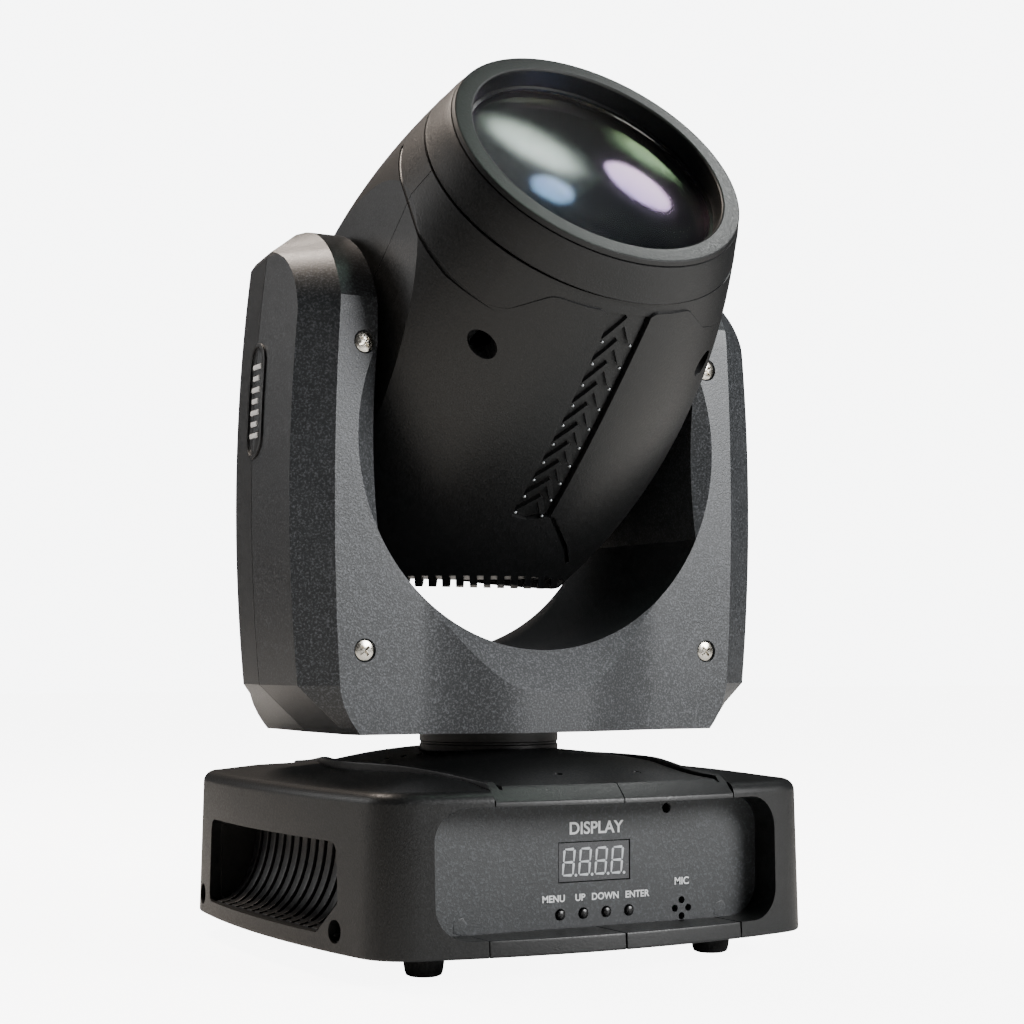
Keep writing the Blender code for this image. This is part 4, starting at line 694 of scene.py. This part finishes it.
def worth_rounding(edge):
    """Leave the tightly curved tops and the very short edges alone."""
    return edge.calc_length() > 0.5


fork = soften(fork, EDGE, angle=24, segments=3, keep=worth_rounding)
print("fork solid:", len(fork.faces), "faces")

# %% [markdown]
# Four countersunk screws hold the front cover to the steel fork. Each sits in a conical seat
# that leaves a thin dark ring, and its cross recess is cut as two crossed slots.

# %% Hollow covers and screws
SCREW_X, LOW_SCREW_Z = 75.0, 106.2
SCREWS = {"upper_left_screw": (-SCREW_X, TILT_Z), "upper_right_screw": (SCREW_X, TILT_Z),
          "lower_left_screw": (-SCREW_X, LOW_SCREW_Z), "lower_right_screw": (SCREW_X, LOW_SCREW_Z)}
SCREW_HEAD = 3.8      # radius
WALL = 2.4
INSIDE_X, INSIDE_Y = 1 - WALL / 100, 1 - WALL / 44


def seat_shape(x, z):
    seat = turning([(0, 1.5), (SCREW_HEAD + 0.55, 1.5), (SCREW_HEAD + 0.55, -0.9), (2.6, -2.6),
                    (2.4, -9.0), (0, -9.0)], 40)
    return facing(seat, x, -FORK_HALF_Y, z)


inner = stack([[(x * INSIDE_X, y * INSIDE_Y, z) for x, y, z in fork_section(z)]
               for z in [FORK_FOOT + WALL] + levels[4:-3]])
inner = carve(inner, prism(cradle_outline(WALL), 140.0, axis="Y"))
inner = carve(inner, merge([scoop(-1, 8.0), scoop(1, 8.0)]))
fork = carve(fork, inner)
fork = carve(fork, merge([drum(13.0, 12.0, (0, 0, FORK_FOOT), segments=64),
                          drum(11.0, 148.0, (0, 0, TILT_Z), "X", 64)]))
fork = carve(fork, merge([seat_shape(x, z) for x, z in SCREWS.values()]))
for cover_name, cover_side in (("yoke_front_cover", -1), ("yoke_rear_cover", 1)):
    cover = fork.copy()
    trim(cover, (0, cover_side * 0.2, 0), (0, -cover_side, 0))
    show(cover, cover_name + "_skin", "yoke", fork_paint, (cover_name,), None, 14)
fork.free()

for screw_name, (x, z) in SCREWS.items():
    head = turning([(0, -0.15), (1.6, -0.2), (3.0, -0.42), (SCREW_HEAD - 0.15, -0.62),
                    (SCREW_HEAD, -0.8), (SCREW_HEAD - 0.1, -1.1), (1.9, -2.9), (1.9, -13.0),
                    (0, -13.0)], 48)
    for turn in (38, 128):
        slot = block((4.6, 0.95, 1.7), (0, 0, -0.5))
        slot.transform(Matrix.Rotation(math.radians(turn), 4, "Z"))
        head = carve(head, slot)
    show(facing(head, x, -FORK_HALF_Y, z), screw_name + "_head", "yoke", nickel,
         (screw_name,), None, 26)


# %% [markdown]
# Each arm carries an upright oval plate on its outer side, near the top. It is left plain, with
# a raised rim and a column of short bars as ornament. It is drawn flat, and then every point is
# moved out to the crowned side of the arm.

# %% Oval plates
OVAL = (8.6, 21.8)     # half width and half height
OVAL_Z = 199.5


def oval(scale_by, low, high, segments=72):
    bm = bmesh.new()
    bmesh.ops.create_cone(bm, cap_ends=True, segments=segments, radius1=1.0, radius2=1.0, depth=1.0)
    half, tall = OVAL[0] * scale_by, OVAL[1] - OVAL[0] * (1 - scale_by)
    for vert in bm.verts:
        u, v = vert.co.x * half, vert.co.y * half
        v += math.copysign(tall - half, v) if abs(vert.co.y) > 0.02 else 0.0
        vert.co = (u, v, low if vert.co.z < 0 else high)
    return bm


def onto_arm(bm, side):
    """Lay a flat shape, drawn in (y, z) with its height on the third axis, on an arm."""
    for vert in bm.verts:
        y, z, height = vert.co.x - 1.0, vert.co.y + OVAL_Z, vert.co.z
        fall = max(y, 0.0) * REAR_FALL / REAR_Y
        vert.co = (side * (fork_outer(z) - fall + height), y, z)
    return bm


for side, side_name in ((-1, "left"), (1, "right")):
    rim = soften(carve(oval(1.0, -1.0, 0.9), oval(0.82, -2.0, 3.0)), 0.35, segments=2)
    plate = carve(oval(0.82, -1.0, 0.25), oval(0.70, 0.05, 2.0))
    dashes = []
    for index in range(7):
        dash = block((6.2 if index % 2 else 8.4, 1.9, 1.0), (0, (index - 3) * 4.3, 0.1))
        dashes.append(soften(dash, 0.4, segments=2))
    badge = onto_arm(merge([rim, plate]), side)
    show(badge, side_name + "_oval_plate", "yoke", abs_textured)
    show(onto_arm(merge(dashes), side), side_name + "_oval_bars", "yoke", print_ink)


# %% [markdown]
# The base is a square with bowed sides and rounded corners. Its walls lean out a little towards
# the floor, its upper edge is well rounded, and low roofs climb from there to the middle. One
# block is made of stacked plans, and the recesses, vents and screw holes are cut out of it.

# %% Base plan
BASE_X, BASE_Y = 97.0, 100.0
BOW_X, BOW_Y = 8.0, 13.0
EDGE_Z = 53.0
PANEL_Y = 80.0
LIP_Z = 52.0
DECK_HALF = 53.0
ROUND = 4.6           # radius of the upper edge


def base_outline(inset=0.0):
    half_x, half_y = BASE_X - inset, BASE_Y - inset
    corner_x, corner_y = half_x - BOW_X, half_y - BOW_Y
    corner = max(13.0 - inset, 3.0)
    reach_x, reach_y = 1 - corner / corner_x, 1 - corner / corner_y
    quarter = [(half_x - BOW_X * (reach_y * step / 14) ** 2, corner_y * reach_y * step / 14)
               for step in range(15)]
    start = Vector(quarter[-1])
    far = Vector((corner_x * reach_x, half_y - BOW_Y * reach_x ** 2))
    tip = Vector((corner_x + 0.5, corner_y + 0.5))
    quarter += [tuple(start * (1 - t) ** 2 + tip * 2 * t * (1 - t) + far * t * t)
                for t in [step / 10 for step in range(1, 10)]]
    quarter += [(corner_x * reach_x * step / 14, half_y - BOW_Y * (reach_x * step / 14) ** 2)
                for step in range(14, -1, -1)]
    right = quarter + [(-x, y) for x, y in reversed(quarter[:-1])]
    return right + [(x, -y) for x, y in reversed(right[1:-1])]


def base_block(levels):
    """A solid with the base's outline, drawn in by an inset at each height."""
    return stack([[(x, y, z) for x, y in base_outline(inset)] for z, inset in levels])


edge_levels = [(EDGE_Z + ROUND * math.sin(turn), ROUND * (1 - math.cos(turn)))
               for turn in map(math.radians, range(0, 91, 10))]
outer_levels = [(0.0, -1.1), (0.5, -1.45), (1.2, -1.5)] + edge_levels
outer_levels += [(EDGE_Z + ROUND + 2.2, 18.0), (EDGE_Z + ROUND + 3.9, 36.0), (63.0, 66.0)]
print("base edge levels:", len(outer_levels))


def deck_half(y):
    """Half width of the middle cover."""
    reach = PANEL_Y if y < 0 else PANEL_Y * 1.05
    narrow = DECK_HALF - (3.0 if y < 0 else 8.0)
    return narrow + (DECK_HALF + 11.0 - narrow) * (1 - ease(abs(y) / reach))


def deck_rise(y, top):
    low = EDGE_Z + 5.6
    return low + (top - low) * ease((BASE_Y - abs(y)) / (BASE_Y - 27.5))


# %% [markdown]
# The side covers keep a wall of a few millimetres. The vent in each side is a long opening with
# a screw hole beside it, and both ends of the base have a recess for a panel.

# %% Side covers
BASE_WALL = 2.4
SIDE_HOLES = (-59.5, 72.0)      # y of the screw holes beside the vents
SIDE_HOLE_Z, SIDE_HOLE_RADIUS = 7.6, 4.2


def deck_plan(clearance):
    rows = [-102.0 + 204.0 * step / 60 for step in range(61)]
    right = [(deck_half(y) + clearance, y) for y in rows]
    return prism(right + [(-x, y) for x, y in reversed(right)], 80.0, 40.0)


def rounded_outline(half, low, high, corner, steps=8):
    points = []
    for sign, v, start in ((1, high - corner, 0), (-1, high - corner, 90),
                           (-1, low + corner, 180), (1, low + corner, 270)):
        points += arc_points((sign * (half - corner), v), corner, start, start + 90, steps)
    return points


VENT = [(-47.0, 6.0), (58.0, 6.0), (60.2, 6.9), (61.0, 9.0), (61.0, 34.5), (60.0, 37.6),
        (57.0, 39.0), (-55.0, 39.0), (-57.6, 38.2), (-59.4, 35.6), (-61.0, 18.5), (-60.4, 17.2)]
covers = base_block(outer_levels)
covers = carve(covers, deck_plan(0.5))
for side in (-1, 1):
    panel_recess = prism(rounded_outline(72.0, 6.0, LIP_Z, 12.0), 60.0, side * 108.0, "Y")
    covers = carve(covers, panel_recess)
    covers = carve(covers, block((2 * DECK_HALF + 0.8, 26.0, 40.0), (0, side * 92.0, -13.4)))
    covers = carve(covers, prism(VENT, 60.0, side * 88.0, "X"))
covers = soften(covers, 0.9, angle=34, segments=3, keep=worth_rounding)
inner_levels = [(-1.0, BASE_WALL)]
inner_levels += [(z - BASE_WALL, inset + BASE_WALL) for z, inset in outer_levels[3::3]]
between_panels = block((300, 2 * PANEL_Y - 3.0, 300), (0, 0, 0))
covers = carve(covers, carve(base_block(inner_levels), between_panels, "INTERSECT"))
covers = carve(covers, merge([drum(SIDE_HOLE_RADIUS, 50.0, (side * 92.0, y, SIDE_HOLE_Z), "X", 40)
                              for side in (-1, 1) for y in SIDE_HOLES]))
for cover_name, side in (("left_side_cover", -1), ("right_side_cover", 1)):
    cover = covers.copy()
    trim(cover, (side * 20.0, 0, 0), (-side, 0, 0))
    show(cover, cover_name + "_skin", "base", abs_textured, (cover_name,))
covers.free()

# %% [markdown]
# Behind each vent stand ribs that curve out towards the foot like a quarter of a pipe. Each rib
# is one slice of a strip bent along that curve. A dark lining right behind them closes the gaps,
# and a second one frames the opening.

# %% Ribbed vents
RIBS = 15
RIB_STEP = 7.7
RIB_WIDTH = 4.9
RIB_DEPTH = 2.6
CURVE_X, CURVE_TOP = 93.2, 37.6         # where the curve ends at its foot, and its top
CURVE_REACH, CURVE_DROP = 17.0, 31.0    # how far it comes out, and how far it falls
VENT_MIDDLE_Z = 22.5


def vent_curve(offset, side, steps=14):
    """A quarter of an ellipse in (x, z), deeper into the base by offset."""
    turns = [math.pi / 2 * step / steps for step in range(steps + 1)]
    return [(side * (CURVE_X - (CURVE_REACH + offset) * math.cos(turn)),
             CURVE_TOP - (CURVE_DROP + offset) * math.sin(turn)) for turn in turns]


for side, name in ((-1, "left_louvre"), (1, "right_louvre")):
    curved = vent_curve(0.0, side) + list(reversed(vent_curve(RIB_DEPTH, side)))
    slices = []
    for index in range(RIBS):
        y = (index - (RIBS - 1) / 2) * RIB_STEP
        rib = prism(curved, RIB_WIDTH, y, "Y")
        slices.append(soften(rib, 0.6, angle=60, segments=2))
    backing = vent_curve(RIB_DEPTH - 0.2, side) + list(reversed(vent_curve(RIB_DEPTH + 0.9, side)))
    opening = [(y * 0.985, VENT_MIDDLE_Z + (z - VENT_MIDDLE_Z) * 0.93) for y, z in VENT]
    lining = carve(prism(VENT, 16.0, side * 81.6, "X"), prism(opening, 24.0, side * 81.0, "X"))
    show(merge(slices), name + "_ribs", "base", abs_textured, (name,))
    show(merge([prism(backing, 119.0, 0.0, "Y"), lining]), name + "_lining", "base", abs_lining)

# %% [markdown]
# The middle cover swells round the neck and ends in a lip over each panel. A rail with a fine
# groove inside it runs along both edges. Sections are stacked from front to rear, and the lip's
# chamfer follows the base's bowed outline.

# %% Middle cover
RAIL_TOP, CROWN_TOP = 63.0, 68.5        # heights of the edge and the middle beside the neck
NECK_HOLE = 27.9
DECK_SCREWS = [(x, y) for y in (-74.0, 74.0) for x in (-12.0, 22.0)]


def deck_section(y):
    half, rail, top = deck_half(y), deck_rise(y, RAIL_TOP), deck_rise(y, CROWN_TOP)
    low = LIP_Z if abs(y) >= PANEL_Y else rail - 5.5
    edge = [(half, low), (half, rail + 0.5), (half - 0.25, rail + 1.0), (half - 0.8, rail + 1.2),
            (half - 2.4, rail + 1.2), (half - 3.0, rail + 0.9), (half - 3.4, rail - 1.2),
            (half - 4.4, rail - 1.2), (half - 4.8, rail - 0.3), (half - 5.2, rail)]
    span = half - 5.2
    arch = [(span * share, rail + (top - rail) * (1 - share * share))
            for share in (0.9, 0.8, 0.7, 0.6, 0.5, 0.4, 0.3, 0.2, 0.1)]
    right = edge + arch
    ring = right + [(0.0, top)] + [(-x, z) for x, z in reversed(right)]
    return [(x, y, z) for x, z in ring]


rows = [-102.0, -96.0, -90.0, -84.0, -PANEL_Y, -PANEL_Y + 0.1]
rows += [-74.0 + 148.0 * step / 26 for step in range(27)]
rows += [-row for row in reversed(rows[:6])]
deck = stack([deck_section(y) for y in rows])
lip_levels = [(40.0, 0.0), (53.2, 0.0), (53.9, 0.35), (57.9, 4.3), (58.6, 5.3), (80.0, 30.0)]
deck = carve(deck, base_block(lip_levels), "INTERSECT")
deck = carve(deck, drum(NECK_HOLE, 80, (0, 0, 60), segments=128))
for end in (-1, 1):
    deck = carve(deck, block((0.45, 16.0, 14.0), (0, end * 97.0, 58.0)))
slots = []
for index, x in enumerate((-48.0, -41.5, -35.0, -28.5)):
    slot = block((5.2, 1.3, 6.0), (0, 0, 0))
    place = Matrix.Translation((x, -6.0 - 1.5 * index, 65.5))
    slot.transform(place @ Matrix.Rotation(0.75, 4, "Z"))
    slots.append(slot)
deck = carve(deck, merge(slots))
deck = carve(deck, block((20.0, 15.0, 4.0), (-47.0, 33.0, 66.4)))
deck = carve(deck, merge([drum(1.7, 3.0, (x, y, deck_rise(y, CROWN_TOP) - 0.6), segments=24)
                          for x, y in DECK_SCREWS]))
show(deck, "middle_cover", "base", abs_textured, ("top_cover",), None, 30)
screws = []
for x, y in DECK_SCREWS:
    height = deck_rise(y, CROWN_TOP)
    small = drum(1.4, 0.9, (x, y, height - 1.1), segments=24)
    for size in ((1.9, 0.4, 0.8), (0.4, 1.9, 0.8)):
        small = carve(small, block(size, (x, y, height - 0.65)))
    screws.append(small)
show(merge(screws), "deck_screws", "base", zinc_plate)

for end, name in ((-1, "front_sill"), (1, "rear_sill")):
    lip = block((2 * DECK_HALF, 30.0, 6.0), (0, end * 95.0, 3.0))
    foot_levels = [(-1.0, -1.1), (0.4, -1.45), (1.2, -1.5), (5.0, -1.2), (9.0, -1.0)]
    lip = carve(lip, base_block(foot_levels), "INTERSECT")
    lip = carve(lip, block((0.5, 40.0, 14.0), (0, end * 97.0, 3.0)))
    show(soften(lip, 0.6, 40, 2), name + "_lip", "base", abs_textured, (name,))

# %% [markdown]
# The neck that the fork turns on is a black turned ring, and the light stands on four rubber
# feet with a slightly hollow sole.

# %% Neck and feet
neck = turning([(9.0, 91.5), (12.0, 91.5), (12.0, 75.0), (27.0, 75.0), (27.5, 74.5), (27.5, 71.0),
                (27.1, 70.6), (27.1, 70.0), (27.5, 69.6), (27.5, 58.9), (12.0, 48.0), (12.0, 5.3),
                (18.5, 5.3), (18.5, 2.3), (9.0, 2.3)], 128, closed=True)
show(neck, "neck_ring", "base", enamel, ("pan_spindle",))
for node_name in ("front_left_foot", "front_right_foot", "rear_left_foot", "rear_right_foot"):
    low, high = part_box(node_name)
    middle = (low + high) / 2 / MM
    foot = turning([(0, -0.3), (7.4, -0.3), (7.8, -0.7), (7.8, -1.6), (6.9, -7.6), (6.4, -9.0),
                    (5.3, -9.5), (3.0, -9.5), (2.6, -8.2), (0, -8.2)], 56)
    show(move(foot, (middle.x, middle.y, 0)), node_name + "_rubber", "base", rubber_black,
         (node_name,))

# %% [markdown]
# The control panel is a steel sheet with a speckled powder coat. Its holes are punched, so their
# edges are crisp. The lettering is screen printed: real letters, a few hundredths of a
# millimetre thick, lie on the paint.

# %% Control panel
BUTTONS = {"menu_button": -14.6, "up_button": -4.8, "down_button": 5.0, "enter_button": 14.8}
BUTTON_Z, DISPLAY_Z, LABEL_Z = 10.9, 29.6, 16.6
MIC_X, MIC_Z = 38.2, 10.3
SHEET_Y = -79.7
sheet_low, sheet_high = (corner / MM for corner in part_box("front_panel"))
sheet = block(tuple(sheet_high - sheet_low), tuple((sheet_high + sheet_low) / 2))
sheet = carve(sheet, block((30.8, 10.0, 14.8), (0, -PANEL_Y, DISPLAY_Z)))
holes = [drum(2.15, 10, (x, -PANEL_Y, BUTTON_Z), "Y", 40) for x in BUTTONS.values()]
holes += [drum(1.35, 10, (MIC_X + dx, -PANEL_Y, MIC_Z + dz), "Y", 32)
          for dx, dz in ((-3, 0), (3, 0), (0, -3), (0, 3))]
holes.append(drum(1.9, 10, (31.4, -PANEL_Y, 47.8), "Y", 32))
sheet = carve(sheet, merge(holes))
show(sheet, "front_panel_sheet", "base", powder_coat, ("front_panel",))
weld_marks = []
for x in (-55.6, 55.6):
    mark = turning([(0, 0.12), (3.0, 0.12), (3.4, 0.05), (3.6, -0.2), (0, -0.2)], 5)
    weld_marks.append(facing(mark, x, SHEET_Y, 9.0))
show(merge(weld_marks), "panel_weld_marks", "base", powder_coat, (), None, 60)


def lettering(text, size, x, z, weight):
    """One printed word. Weight is how far its strokes are thickened."""
    curve = bpy.data.curves.new("letters", "FONT")
    curve.body, curve.size, curve.align_x, curve.align_y = text, size, "CENTER", "CENTER"
    curve.extrude, curve.offset = 0.03, weight
    held = into_scene("letters", curve)
    bpy.context.view_layer.update()
    graph = bpy.context.evaluated_depsgraph_get()
    mesh = bpy.data.meshes.new_from_object(held.evaluated_get(graph))
    bm = bmesh.new()
    bm.from_mesh(mesh)
    bpy.data.objects.remove(held)
    bpy.data.curves.remove(curve)
    bpy.data.meshes.remove(mesh)
    return facing(bm, x, SHEET_Y - 0.05, z)


printed = [lettering("DISPLAY", 6.2, 0.6, 41.6, 0.12)]
printed += [lettering(word, 3.5, x, LABEL_Z, 0.08)
            for word, x in (("MENU", -17.4), ("UP", -6.2), ("DOWN", 4.6), ("ENTER", 18.4))]
printed.append(lettering("MIC", 3.8, MIC_X, 20.3, 0.08))
show(merge(printed), "panel_lettering", "base", print_ink, (), None, 60)

# %% [markdown]
# The display shows four digits with their points. Each unlit segment is a pale bar with pointed
# ends, set into a smoked face. The buttons are small black domes.

# %% Display and buttons
face_y = (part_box("display_module")[0] / MM).y
DIGIT_STEP, DIGIT_TALL, DIGIT_WIDE, STROKE = 6.9, 9.4, 4.3, 1.0
SLANT = 0.09


def segment(x, z, length, upright):
    """One bar of a digit: a six-sided plate pulled out to its length, then slanted."""
    bar = bmesh.new()
    bmesh.ops.create_cone(bar, cap_ends=True, segments=6, radius1=STROKE / 2, radius2=STROKE / 2,
                          depth=0.12)
    for vert in bar.verts:
        vert.co.x += math.copysign(length / 2 - STROKE / 2, vert.co.x)
        if upright:
            vert.co = (vert.co.y, vert.co.x, vert.co.z)
        vert.co.x += SLANT * (vert.co.y + z - DISPLAY_Z)
    return facing(bar, x, face_y - 0.02, z)


bars = []
for digit in range(4):
    x = (digit - 1.5) * DIGIT_STEP - 0.5
    for rise in (-1, 0, 1):
        bars.append(segment(x, DISPLAY_Z + rise * DIGIT_TALL / 2, DIGIT_WIDE - 0.5, False))
    for side in (-1, 1):
        for rise in (-1, 1):
            bars.append(segment(x + side * DIGIT_WIDE / 2, DISPLAY_Z + rise * DIGIT_TALL / 4,
                                DIGIT_TALL / 2 - 0.4, True))
    bars.append(drum(0.55, 0.12, (x + DIGIT_WIDE / 2 + 0.9, face_y - 0.02, 24.8), "Y", 16))
show(merge(bars), "display_segments", "base", segment_white, (), None, 60)
for node_name, x in BUTTONS.items():
    low, high = (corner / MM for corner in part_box(node_name))
    button = turning([(0, 0.0), (0.9, -0.06), (1.45, -0.3), (1.75, -0.8), (1.75, low.y - high.y),
                      (0, low.y - high.y)], 40)
    body = node_name.replace("_button", "_key")
    show(facing(button, x, low.y, BUTTON_Z), node_name + "_cap", body, button_plastic,
         (node_name,))


# %% [markdown]
# Every part that keeps its own shape gets the finish that the record names for it. The drives,
# boards and optics sit out of sight behind the covers, but they are finished as well, because
# they show when the light is taken apart.

# %% Finish the carried-over parts
FINISHES = {"black_abs": abs_textured, "graphite_abs": fork_paint, "matt_black": abs_lining,
            "coated_steel": powder_coat, "plated_steel": zinc_plate, "nickel": nickel,
            "cast_alloy": cast_alloy, "motor_enamel": enamel, "circuit_board": solder_mask,
            "smoked_window": display_face, "coated_glass": lens_glass,
            "black_rubber": rubber_black}
SLOT_OF = {part["node"]: part["material_slot"] for part in frame["record"]["subparts"]}
for node_name, part in frame["nodes"].items():
    part.data.materials.clear()
    part.data.materials.append(FINISHES[SLOT_OF[node_name]])
for node_name in BUTTONS:
    frame["nodes"][node_name].data.materials[0] = button_plastic
print("finished", len(frame["nodes"]), "parts")


# %% [markdown]
# The light stands on a plain pale floor. A large soft lamp at the front right lights the flat
# faces, a weak one behind on the left draws the outer side of the arm, and a warm one above and
# behind picks out the tops. Two small lamps are there for the lens to mirror, the left one tinted
# green. The white of the world and the floor is for the camera only: the parts get no more than a
# weak, even fill from it.

# %% Stage, lamps and camera
FLOOR_GLOW, BACKDROP_GLOW, FILL_LIGHT = 7.0, 8.0, 0.05
LENS_AT = (0, -0.082, 0.284)
LAMPS = (  # name, place and aim in metres, width, watts and colour
    ("key_lamp", (0.95, -1.45, 0.75), (0, 0, 0.16), 0.8, 44, "#ffffff"),
    ("side_lamp", (-1.3, 1.15, 0.7), (0, 0, 0.15), 0.8, 6, "#ffffff"),
    ("top_lamp", (-0.3, 0.65, 1.35), (0, 0, 0.22), 0.55, 22, "#fff0e2"),
    ("lens_lamp_left", (0.301, -0.290, 1.161), LENS_AT, 0.14, 0.9, "#dcffe9"),
    ("lens_lamp_right", (0.589, -0.062, 1.029), LENS_AT, 0.20, 2.0, "#fdfffe"))
CAMERA_AT = (-0.3910, -0.7060, 0.1028)
CAMERA_TURN = -28.98


def soft_lamp(name, at, aim, size, power, tint):
    lamp = bpy.data.lights.new(name, "AREA")
    lamp.shape, lamp.size, lamp.energy = "DISK", size, power
    lamp.color = linear(tint)[:3]
    held = into_scene(name, lamp)
    held.location = at
    held.rotation_euler = (Vector(aim) - Vector(at)).to_track_quat("-Z", "Y").to_euler()


floor_mesh = bmesh.new()
bmesh.ops.create_grid(floor_mesh, x_segments=2, y_segments=2, size=6.0)
move(floor_mesh, (0, 0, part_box("front_left_foot")[0].z))
floor = into_scene("floor", as_mesh(floor_mesh, "floor"))
pale_floor = surface("studio_floor", "#f1f1f0", "#efefee", 4.0, 0.02, 0.7,
                     Emission_Color=(1, 1, 1, 1))
tree = pale_floor.node_tree
seen = add(tree, "ShaderNodeLightPath").outputs["Is Camera Ray"]
glow = add(tree, "ShaderNodeMath", {0: seen, 1: FLOOR_GLOW}, operation="MULTIPLY")
tree.links.new(glow.outputs[0], tree.nodes["Principled BSDF"].inputs["Emission Strength"])
floor.data.materials.append(pale_floor)

for lamp in LAMPS:
    soft_lamp(*lamp)

world = bpy.data.worlds.new("studio")
bpy.context.scene.world = world
world.use_nodes = True
sky = world.node_tree
seen = add(sky, "ShaderNodeLightPath").outputs["Is Camera Ray"]
backdrop = add(sky, "ShaderNodeMath", {0: seen, 1: BACKDROP_GLOW, 2: FILL_LIGHT},
               operation="MULTIPLY_ADD")
sky.links.new(backdrop.outputs[0], sky.nodes["Background"].inputs["Strength"])
sky.nodes["Background"].inputs["Color"].default_value = linear("#f3f4f5")

camera_data = bpy.data.cameras.new("camera")
camera = into_scene("camera", camera_data)
camera.location = CAMERA_AT
camera.rotation_euler = (math.radians(90), 0, math.radians(CAMERA_TURN))
camera_data.sensor_width, camera_data.lens = 36.0, 71.21
camera_data.shift_x, camera_data.shift_y = 0.0229, 0.1444
bpy.context.scene.camera = camera
print("camera at", tuple(camera.location))
